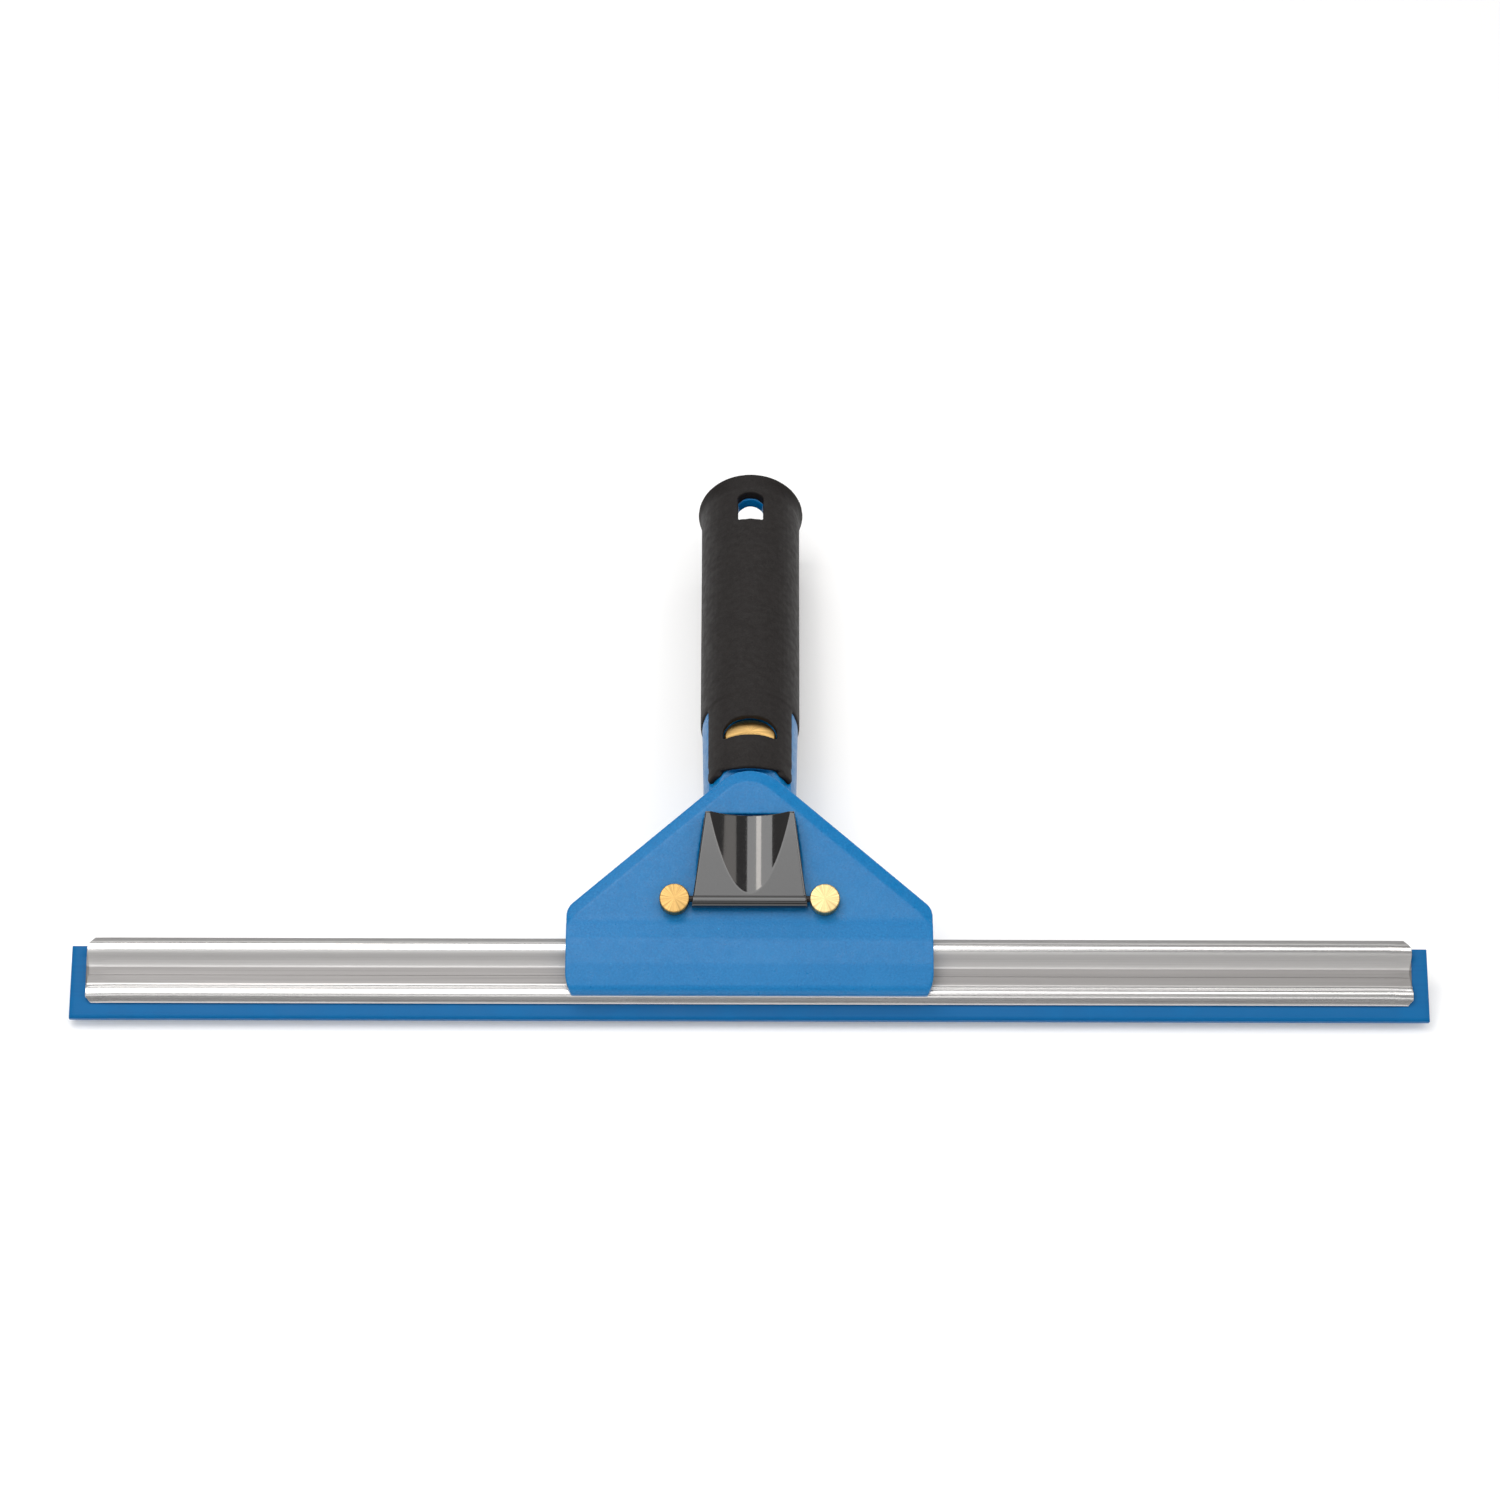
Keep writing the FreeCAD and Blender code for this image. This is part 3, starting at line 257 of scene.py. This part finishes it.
BLUE = linear(0, 113, 175)
BLACK = linear(27, 23, 22)
BRASS = (0.52, 0.325, 0.115, 1.0)
# The right post's brass, made paler: a painted highlight for the brighter light it catches.
PAINTED_HIGHLIGHT_BRASS = (0.56, 0.42, 0.20, 1.0)
STEEL = (0.74, 0.725, 0.715, 1.0)


def make_materials():
    """One finish for every material slot, and others for the turned parts and the pin."""
    finish = {
        "blue_plastic": moulded("blue plastic", BLUE, linear(0, 101, 161),
                                linear(22, 126, 187), 0.33, grain=1400.0, specks=0.25,
                                shine=0.35),
        "black_plastic": moulded("black plastic", BLACK, linear(30, 27, 26),
                                 linear(66, 62, 60), 0.50, grain=1800.0),
        "black_rubber": moulded("black grip rubber", BLACK, linear(18, 15, 14),
                                linear(38, 34, 32), 0.60, grain=1700.0, specks=0.5,
                                depth=0.03, shine=0.25),
        "blue_rubber": rubber_finish(),
        "grey_rubber": moulded("grey rubber", linear(90, 92, 95), linear(70, 72, 75),
                               linear(120, 122, 125), 0.70, grain=1200.0),
        "stainless": channel_finish(),
        "brass": brushed("brass", BRASS, 0.26, along=400.0, across=2400.0),
        "nylon": moulded("natural nylon", linear(222, 218, 205), linear(204, 199, 184),
                         linear(236, 233, 224), 0.45, grain=900.0),
        "gloss_black": gloss_finish(),
        "pin": brushed("blackened steel", linear(58, 54, 52), 0.40, along=60.0,
                       across=1500.0),
        "steel": brushed("zinc-plated steel", linear(186, 188, 190), 0.32, along=60.0,
                         across=1500.0),
        "spring_steel": brushed("spring steel", linear(150, 150, 152), 0.28, along=90.0,
                                across=2200.0),
    }
    # Both posts are one brass: the left is painted darker (painted shade) and the right paler
    # (painted highlight), for the light each catches.
    post_painted_light_tones = {"left": shade(BRASS, 0.82), "right": PAINTED_HIGHLIGHT_BRASS}
    for side, x in POST_PLACES:
        centre = HEAD @ (Vector((x, POST_UP, 0.0)) * MM)
        finish[side + "_post"] = turned_metal(side + " turned brass", post_painted_light_tones[side], 0.34,
                                              centre, HEAD_TILT)
    centre = HANDLE @ (Vector((0.0, BUTTON_ALONG, 0.0)) * MM)
    finish["button"] = turned_metal("turned button brass", shade(BRASS, 1.25), 0.34,
                                    centre, HANDLE_TILT, streaks=5.0)
    return finish


# Parts of the channel's section, as heights up the head in mm. A band fades in between its
# first two heights and out between its last two; a fade only comes in. Painted shade: these
# parts of the steel are painted a darker grey that stands in for their dimmer reflections,
# and the waist, slope and crown are also rougher.
WAIST_PAINTED_SHADE = (11.3, 12.2, 17.5, 18.1)
SLOPE_PAINTED_SHADE = (17.4, 18.4, 22.2, 23.4)
CROWN_PAINTED_SHADE = (25.7, 26.5)
LIP_PAINTED_SHADE = (7.4, 6.6)


def channel_finish():
    """Stainless sheet with bright ridges. Its waist, slope, crown and lip are painted a darker
    grey, painted shade for their dimmer reflections, and the waist, slope and crown are
    rougher.
    """
    surface = brushed("stainless steel", STEEL, 0.24)
    split = surface.node("SeparateXYZ",
                         {0: surface.points(origin=HEAD_ORIGIN, tilt=HEAD_TILT)})
    up = split.outputs[1]

    def fade(start, end):
        return surface.span(up, start * MM, end * MM)

    def band(start, full, still, end):
        return surface.math(fade(start, full), fade(end, still), "MULTIPLY")

    waist, slope = band(*WAIST_PAINTED_SHADE), band(*SLOPE_PAINTED_SHADE)
    crown, lip = fade(*CROWN_PAINTED_SHADE), fade(*LIP_PAINTED_SHADE)
    # Painted shade: each band is blended towards a darker grey that stands in for the steel's
    # dimmer reflections there.
    for where, share, grey in ((waist, 0.90, (0.22, 0.212, 0.208, 1.0)),
                               (slope, 0.60, (0.36, 0.352, 0.348, 1.0)),
                               (crown, 0.85, (0.30, 0.295, 0.29, 1.0)),
                               (lip, 0.30, (0.25, 0.24, 0.235, 1.0))):
        surface.tone(surface.math(where, share, "MULTIPLY"), grey)
    dull = surface.math(surface.math(waist, crown, "ADD"), slope, "ADD")
    duller = surface.math(dull, 0.28, "MULTIPLY")
    rough = surface.shader.inputs["Roughness"]
    surface.tree.links.new(surface.math(rough.links[0].from_socket, duller, "ADD"), rough)
    return surface


def rubber_finish():
    """Cut strip rubber: satin, with faint lengthwise draw lines."""
    colour = linear(0, 98, 156)
    surface = Surface("blue blade rubber", colour, 0.45, Specular_IOR_Level=0.15)
    lines = surface.noise(surface.points((5.0, 900.0, 900.0)), 1.0, 4.0, 0.6)
    cloud = surface.noise(surface.points(), 60.0, 3.0)
    surface.tone(surface.span(lines, 0.48, 0.75, 0.0, 0.50), linear(0, 86, 146))
    surface.tone(surface.span(cloud, 0.50, 0.75, 0.0, 0.35), linear(8, 112, 174))
    surface.gloss(cloud, 0.34, 0.50)
    surface.relief(lines, 0.02 * MM, 0.5)
    return surface


def gloss_finish():
    """Polished black moulding: slight sink waves and hairline scratches."""
    surface = Surface("gloss black plastic", linear(14, 12, 12), 0.10,
                      Specular_IOR_Level=0.8, Coat_Weight=0.4, Coat_Roughness=0.04)
    here = surface.points()
    waves = surface.noise(here, 70.0, 2.0)
    scratch = surface.noise(surface.points((260.0, 4200.0, 900.0)), 1.0, 2.0, 0.7)
    surface.tone(surface.span(waves, 0.45, 0.70, 0.0, 0.6), linear(24, 21, 20))
    surface.gloss(surface.noise(here, 900.0, 3.0), 0.07, 0.13)
    surface.relief(waves, 0.10 * MM, 0.25)
    surface.relief(surface.span(scratch, 0.66, 0.72), 0.004 * MM, 0.4)
    return surface


# ---------------------------------------------------------------- mesh helpers
def add_object(name, mesh):
    """A new object in the scene."""
    piece = bpy.data.objects.new(name, mesh)
    bpy.context.scene.collection.objects.link(piece)
    return piece


def settle(piece):
    """Apply a piece's modifiers to its mesh and smooth its shading."""
    graph = bpy.context.evaluated_depsgraph_get()
    mesh = bpy.data.meshes.new_from_object(piece.evaluated_get(graph))
    piece.modifiers.clear()
    piece.data = mesh
    for face in mesh.polygons:
        face.use_smooth = True
    return piece


def from_bmesh(name, mesh):
    """A new object made from a bmesh, which is used up."""
    data = bpy.data.meshes.new(name)
    mesh.to_mesh(data)
    mesh.free()
    return add_object(name, data)


def stand_for(piece, node, surface):
    """Dress a piece and let it stand for a CAD node on that node's body."""
    piece.data.materials.clear()
    piece.data.materials.append(surface.material)
    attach(piece, frame["nodes"][node]["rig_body"])
    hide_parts(node)


def soften(node, name, voxel, passes):
    """A copy of a CAD part with the small rounded edges of a moulding."""
    piece = add_object(name, frame["nodes"][node].data.copy())
    skin = piece.modifiers.new("skin", "REMESH")
    skin.mode = "VOXEL"
    skin.voxel_size = voxel * MM
    skin.adaptivity = 0.0
    rounding = piece.modifiers.new("rounding", "SMOOTH")
    rounding.factor = 0.5
    rounding.iterations = passes
    return settle(piece)


def smooth_line(corners, steps):
    """A Catmull-Rom curve through corners, with some steps from each corner to the next."""
    line = []
    last = len(corners) - 1
    for index in range(last):
        before, start = Vector(corners[max(index - 1, 0)]), Vector(corners[index])
        end, after = Vector(corners[index + 1]), Vector(corners[min(index + 2, last)])
        for step in range(steps):
            t = step / steps
            line.append(0.5 * (2 * start + (end - before) * t
                               + (2 * before - 5 * start + 4 * end - after) * t ** 2
                               + (3 * start - before - 3 * end + after) * t ** 3))
    line.append(Vector(corners[-1]))
    return line


def loft(name, sections):
    """A closed skin over closed sections that all have the same number of points."""
    mesh = bmesh.new()
    rows = [[mesh.verts.new(point) for point in section] for section in sections]
    count = len(rows[0])
    for before, after in zip(rows, rows[1:]):
        for index in range(count):
            other = (index + 1) % count
            mesh.faces.new((before[index], before[other], after[other], after[index]))
    for row in (rows[0], rows[-1]):
        cap = mesh.faces.new(row)
        bmesh.ops.triangulate(mesh, faces=[cap])
    bmesh.ops.recalc_face_normals(mesh, faces=mesh.faces)
    return from_bmesh(name, mesh)


def lathe(name, place, profile, sides=96):
    """A turned part: (radius, height) corners swept about the Z axis of a placed frame."""
    mesh = bmesh.new()
    rings = []
    for radius, height in profile:
        if radius <= 0:
            rings.append([mesh.verts.new(place @ (Vector((0, 0, height)) * MM))])
            continue
        ring = []
        for side in range(sides):
            angle = 2 * math.pi * side / sides
            point = Vector((radius * math.cos(angle), radius * math.sin(angle), height))
            ring.append(mesh.verts.new(place @ (point * MM)))
        rings.append(ring)
    for low, high in zip(rings, rings[1:]):
        for side in range(sides):
            other = (side + 1) % sides
            if len(low) == 1:
                mesh.faces.new((low[0], high[other], high[side]))
            elif len(high) == 1:
                mesh.faces.new((low[side], low[other], high[0]))
            else:
                mesh.faces.new((low[side], low[other], high[other], high[side]))
    bmesh.ops.recalc_face_normals(mesh, faces=mesh.faces)
    return from_bmesh(name, mesh)


def ease(value):
    """0 to 1 with a soft start and end."""
    value = min(1.0, max(0.0, value))
    return value * value * (3 - 2 * value)


# ---------------------------------------------------------------- the wiping strip
# Half lengths in mm.
CHANNEL_HALF = 225.0
BLADE_HALF = 230.5
# Half of the channel's section as (up, out) in mm: two ridges and a creased waist between them.
CHANNEL_OUTSIDE = [(28.2, 0.6), (28.0, 2.0), (27.1, 3.4), (25.5, 4.45), (23.9, 4.6),
                   (22.2, 4.1), (20.2, 3.1), (18.2, 2.45), (16.4, 2.38), (15.0, 2.42),
                   (14.8, 2.62), (13.4, 2.66), (11.7, 2.75), (10.7, 3.25), (9.9, 3.85),
                   (8.9, 4.0), (7.6, 3.7), (6.4, 2.95), (5.6, 2.4), (5.2, 2.0)]
CHANNEL_INSIDE = [(5.25, 1.45), (6.0, 1.8), (7.2, 2.6), (8.7, 3.1), (9.6, 2.85),
                  (10.8, 1.9), (12.0, 1.5), (17.9, 1.5), (20.4, 2.3), (22.6, 3.4),
                  (24.4, 3.7), (26.2, 2.9), (27.2, 1.6), (27.4, 0.5)]
# How much of each end of the channel is nipped, in mm, and its sections there and between.
NIPPED = 10.0
NIPPED_STEPS = 16
CHANNEL_STEPS = 150
# The last stretch of the channel that its trimmed corners reach, in mm.
TRIMMED = 6.0
# How far the sheet and its lips wander out of true, in mm, and how much a nipped end thins.
SHEET_WAVE = 0.05
LIP_WAVE = 0.10
THINNED = 0.10


def channel_trim(up):
    """How far the channel's cut end steps back from its full length, at a height."""
    top_corner = 2.3 * ease((up - 23.8) / 4.4) ** 1.3
    low_corner = 1.6 * ease((7.4 - up) / 2.2) ** 1.2
    waist = 0.75 * math.sin(math.pi * min(1.0, max(0.0, (up - 9.5) / 13.5))) ** 2
    return top_corner + low_corner + waist


def make_channel(surface):
    """The folded steel sheet, with nipped ends and the small waves of bent sheet."""
    half = smooth_line(CHANNEL_OUTSIDE, steps=4) + smooth_line(CHANNEL_INSIDE, steps=3)
    outline = [(p.x, p.y) for p in half] + [(p.x, -p.y) for p in reversed(half)]
    stations = [-CHANNEL_HALF + NIPPED * (step / NIPPED_STEPS) ** 1.5
                for step in range(NIPPED_STEPS + 1)]
    far_end = [-x for x in reversed(stations)]
    for step in range(1, CHANNEL_STEPS):
        stations.append(-CHANNEL_HALF + NIPPED
                        + (CHANNEL_HALF - NIPPED) * 2 * step / CHANNEL_STEPS)
    sections = []
    for x in stations + far_end:
        near_end = ease(1 - (CHANNEL_HALF - abs(x)) / NIPPED)
        reach = ease((abs(x) - CHANNEL_HALF + TRIMMED) / TRIMMED)
        section = []
        for up, out in outline:
            pull = channel_trim(up) * reach
            wave = SHEET_WAVE * noise.noise(Vector((x / 45, up / 9, 1 if out > 0 else 5)))
            lip = LIP_WAVE * max(0.0, (7.0 - up) / 2) * noise.noise(Vector((x / 13, 3.0, 0.0)))
            skin = out * (1 - THINNED * near_end) + math.copysign(wave + lip, out)
            point = Vector((math.copysign(abs(x) - pull, x), up, skin)) * MM
            section.append(HEAD @ point)
        sections.append(section)
    piece = settle(loft("channel_sheet", sections))
    stand_for(piece, "steel_channel", surface)


# The strip's section in mm: half its thickness, its height, its bead's radius and half of
# the flat on that bead, the cut off its corners, and the heights of the section's points.
STRIP_HALF_THICK = 1.3
STRIP_HEIGHT = 25.2
BEAD = 2.2
BEAD_FLAT = 0.7
CHAMFER = 0.18
STRIP_ROWS = (0.0, 0.02, 1.5, 3.0, 5.0, 8.0, 12.0, 16.0, 20.2, 21.0, 21.6, 22.2, 22.8, 23.4,
              24.0, 24.6, 25.0, 25.2)
# The strip's sections, and how long and how much thinner its cut ends are, in mm.
STRIP_STEPS = 220
CUT_END = 0.2
END_THINNER = 0.12
# The notches in the strip's upper edge, in mm: the X of each one's middle to its side, the
# height of that middle, and the size of the block that cuts it.
NOTCH_X = 213.0
NOTCH_UP = 23.75
NOTCH_SIZE = (6.2, 12.5, 8.0)


def cut_notches(piece):
    """Cut the two notches in the strip's upper edge."""
    for side in (-1, 1):
        tool = bmesh.new()
        centre = HEAD @ Matrix.Translation(Vector((side * NOTCH_X, NOTCH_UP, 0.0)) * MM)
        size = Matrix.Diagonal(Vector((*NOTCH_SIZE, 1 / MM)) * MM)
        bmesh.ops.create_cube(tool, size=1.0, matrix=centre @ size)
        cut = piece.modifiers.new("notch", "BOOLEAN")
        cut.operation = "DIFFERENCE"
        cut.object = from_bmesh("notch", tool)
    cutters = [cut.object for cut in piece.modifiers]
    settle(piece)
    for cutter in cutters:
        bpy.data.objects.remove(cutter)


def make_blade(surface):
    """The rubber strip: a bead held in the channel, square cut ends, a faintly wavy edge."""
    length = BLADE_HALF - CUT_END
    stations = [-BLADE_HALF]
    for step in range(STRIP_STEPS):
        stations.append(-BLADE_HALF + CUT_END + length * 2 * step / STRIP_STEPS)
    sections = []
    for x in stations + [length, BLADE_HALF]:
        end = END_THINNER if abs(x) > BLADE_HALF - 0.1 else 0.0
        half = []
        for up in STRIP_ROWS:
            out = STRIP_HALF_THICK - end
            if up < 0.01 or up > 25.1:
                out -= CHAMFER
            if abs(x) < CHANNEL_HALF - 0.5:
                round_part = BEAD ** 2 - (up - (STRIP_HEIGHT - BEAD)) ** 2
                if round_part > 0:
                    out = max(out, math.sqrt(round_part)) if up < 25.1 else BEAD_FLAT
            half.append((up, out))
        bow = max(0.0, 0.10 * noise.noise(Vector((x / 60, 0.0, 7.0))))
        section = []
        for up, out in half + [(up, -out) for up, out in reversed(half)]:
            lift = bow * max(0.0, 1 - up / 8.0)
            section.append(HEAD @ (Vector((x, up, out + lift)) * MM))
        sections.append(section)
    piece = loft("blade_strip", sections)
    cut_notches(piece)
    stand_for(piece, "rubber_blade", surface)


# ---------------------------------------------------------------- turned parts
def faced(radius, height, crown, steps):
    """Corners of a lathe-cut face, from its rim to its centre, with shallow tool rings."""
    corners = []
    for step in range(steps + 1):
        share = 1 - step / steps
        ring = 0.012 if step % 2 else 0.0
        corners.append((radius * share, height + crown * (1 - share ** 2) - ring))
    return corners


# A post's corners from its foot to the rim of its turned face, as (radius, height) in mm.
POST_CORNERS = [(0.0, -7.2), (1.1, -7.2), (1.5, -6.8), (1.5, -2.9), (2.5, -2.9), (2.5, 9.2),
                (4.9, 9.2), (5.08, 9.38), (5.1, 9.6), (5.1, 12.85), (5.06, 13.05),
                (4.94, 13.2), (4.8, 13.26), (4.7, 13.28)]


def make_posts(finish):
    """The two turned brass posts that clamp the channel."""
    for side, x in POST_PLACES:
        place = HEAD @ Matrix.Translation(Vector((x, POST_UP, 0.0)) * MM)
        profile = POST_CORNERS + faced(radius=4.6, height=13.29, crown=0.05, steps=10)
        piece = settle(lathe(side + "_post_turned", place, profile))
        stand_for(piece, side + "_clamp_post", finish[side + "_post"])


# ---------------------------------------------------------------- light, floor and camera
WHITE = (1.0, 1.0, 1.0)
WARM = (1.0, 0.93, 0.86)
WARMISH = (1.0, 0.95, 0.90)
# Each light's name, place, aim, size, watts and colour.
LIGHTS = (
    ("top box", (0.0, -0.32, 1.25), (0.0, -0.32, 0.0), (1.80, 0.36), 5.4, WHITE),
    ("rear box", (-0.45, 0.13, 1.25), (-0.45, 0.13, 0.0), (1.10, 0.54), 4.7, WHITE),
    ("front box", (-0.45, -0.82, 1.25), (-0.45, -0.82, 0.0), (1.10, 0.64), 4.7, WHITE),
    ("warm streak", (-0.33, 0.09, 1.22), (-0.33, 0.09, 0.0), (0.18, 0.42), 0.95, WARM),
    ("right panel", (0.96, -0.20, 1.02), (0.0, 0.0, 0.02), (0.70, 1.10), 2.9, WARMISH),
    ("back panel", (0.0, 1.35, 0.95), (0.0, 0.0, 0.0), (2.20, 0.60), 7.0, WHITE),
    ("front strip", (0.0, -1.05, 0.55), (0.0, -0.08, 0.02), (2.40, 0.25), 2.2, WHITE),
)
SKY_STRENGTH = 0.27
# How far the floor lies below the object's lowest point.
FLOOR_GAP = 0.0025


def add_light(name, place, aim, size, power, colour):
    """A rectangular lamp at a place, facing what it aims at."""
    data = bpy.data.lights.new(name, "AREA")
    data.shape = "RECTANGLE"
    data.size, data.size_y = size
    data.energy = power
    data.color = colour
    lamp = bpy.data.objects.new(name, data)
    lamp.location = place
    lamp.rotation_euler = (Vector(aim) - Vector(place)).to_track_quat("-Z", "Y").to_euler()
    bpy.context.scene.collection.objects.link(lamp)


def make_studio():
    """The sky, the lamps and a pale floor."""
    world = bpy.data.worlds.new("studio")
    bpy.context.scene.world = world
    world.use_nodes = True
    sky = world.node_tree.nodes["Background"]
    sky.inputs["Color"].default_value = (*WHITE, 1.0)
    sky.inputs["Strength"].default_value = SKY_STRENGTH
    for light in LIGHTS:
        add_light(*light)
    mesh = bmesh.new()
    bmesh.ops.create_grid(mesh, x_segments=24, y_segments=24, size=4.0)
    floor = from_bmesh("floor", mesh)
    floor.location.z = cad_low.z - FLOOR_GAP
    paper = Surface("pale floor", (0.85, 0.85, 0.85, 1.0), 0.85, Specular_IOR_Level=0.1,
                    Emission_Color=(*WHITE, 1.0), Emission_Strength=0.20)
    fibre = paper.noise(paper.points(), 900.0, 3.0)
    paper.tone(paper.span(fibre, 0.4, 0.7, 0.0, 0.15), (0.86, 0.86, 0.86, 1.0))
    floor.data.materials.append(paper.material)


# The camera: sensor and lens in mm, what it aims at, and its distance, height and roll.
SENSOR = 36.0
LENS = 92.86
TARGET = Vector((0.0, 10.5, 1.2)) * MM
DISTANCE = 1.4
UP_ANGLE = math.radians(46.0)
ROLL = math.radians(0.15)


def make_camera():
    """The camera looks along +Y and down, with a long lens."""
    data = bpy.data.cameras.new("camera")
    data.sensor_width = SENSOR
    data.lens = LENS
    camera = bpy.data.objects.new("camera", data)
    back = Vector((0.0, -math.cos(UP_ANGLE), math.sin(UP_ANGLE)))
    camera.location = TARGET + back * DISTANCE
    turn = (-back).to_track_quat("-Z", "Y").to_matrix().to_4x4()
    camera.rotation_euler = (turn @ Matrix.Rotation(ROLL, 4, "Z")).to_euler()
    bpy.context.scene.collection.objects.link(camera)
    bpy.context.scene.camera = camera
    bpy.context.scene.view_settings.view_transform = "Standard"


# ---------------------------------------------------------------- the whole object
# Mouldings shown with soft edges: CAD node, piece, voxel in mm, smoothing passes, finish.
SOFTENED = (
    ("head_body", "head_shell", 0.42, 4, "blue_plastic"),
    ("grip_sleeve", "grip_skin", 0.50, 4, "black_rubber"),
    ("handle_core", "handle_neck", 0.50, 3, "blue_plastic"),
    ("release_lever", "thumb_lever", 0.20, 3, "gloss_black"),
)

finish = make_materials()
SLOTS = {name: item.data.materials[0].name for name, item in frame["nodes"].items()}
for name, item in frame["nodes"].items():
    item.data.materials[0] = finish[SLOTS[name]].material
for node, name, voxel, passes, slot in SOFTENED:
    stand_for(soften(node, name, voxel, passes), node, finish[slot])
make_channel(finish["stainless"])
make_blade(finish["blue_rubber"])
make_posts(finish)
frame["nodes"]["lock_button"].data.materials[0] = finish["button"].material
frame["nodes"]["lever_hinge_pin"].data.materials[0] = finish["pin"].material
make_studio()
make_camera()
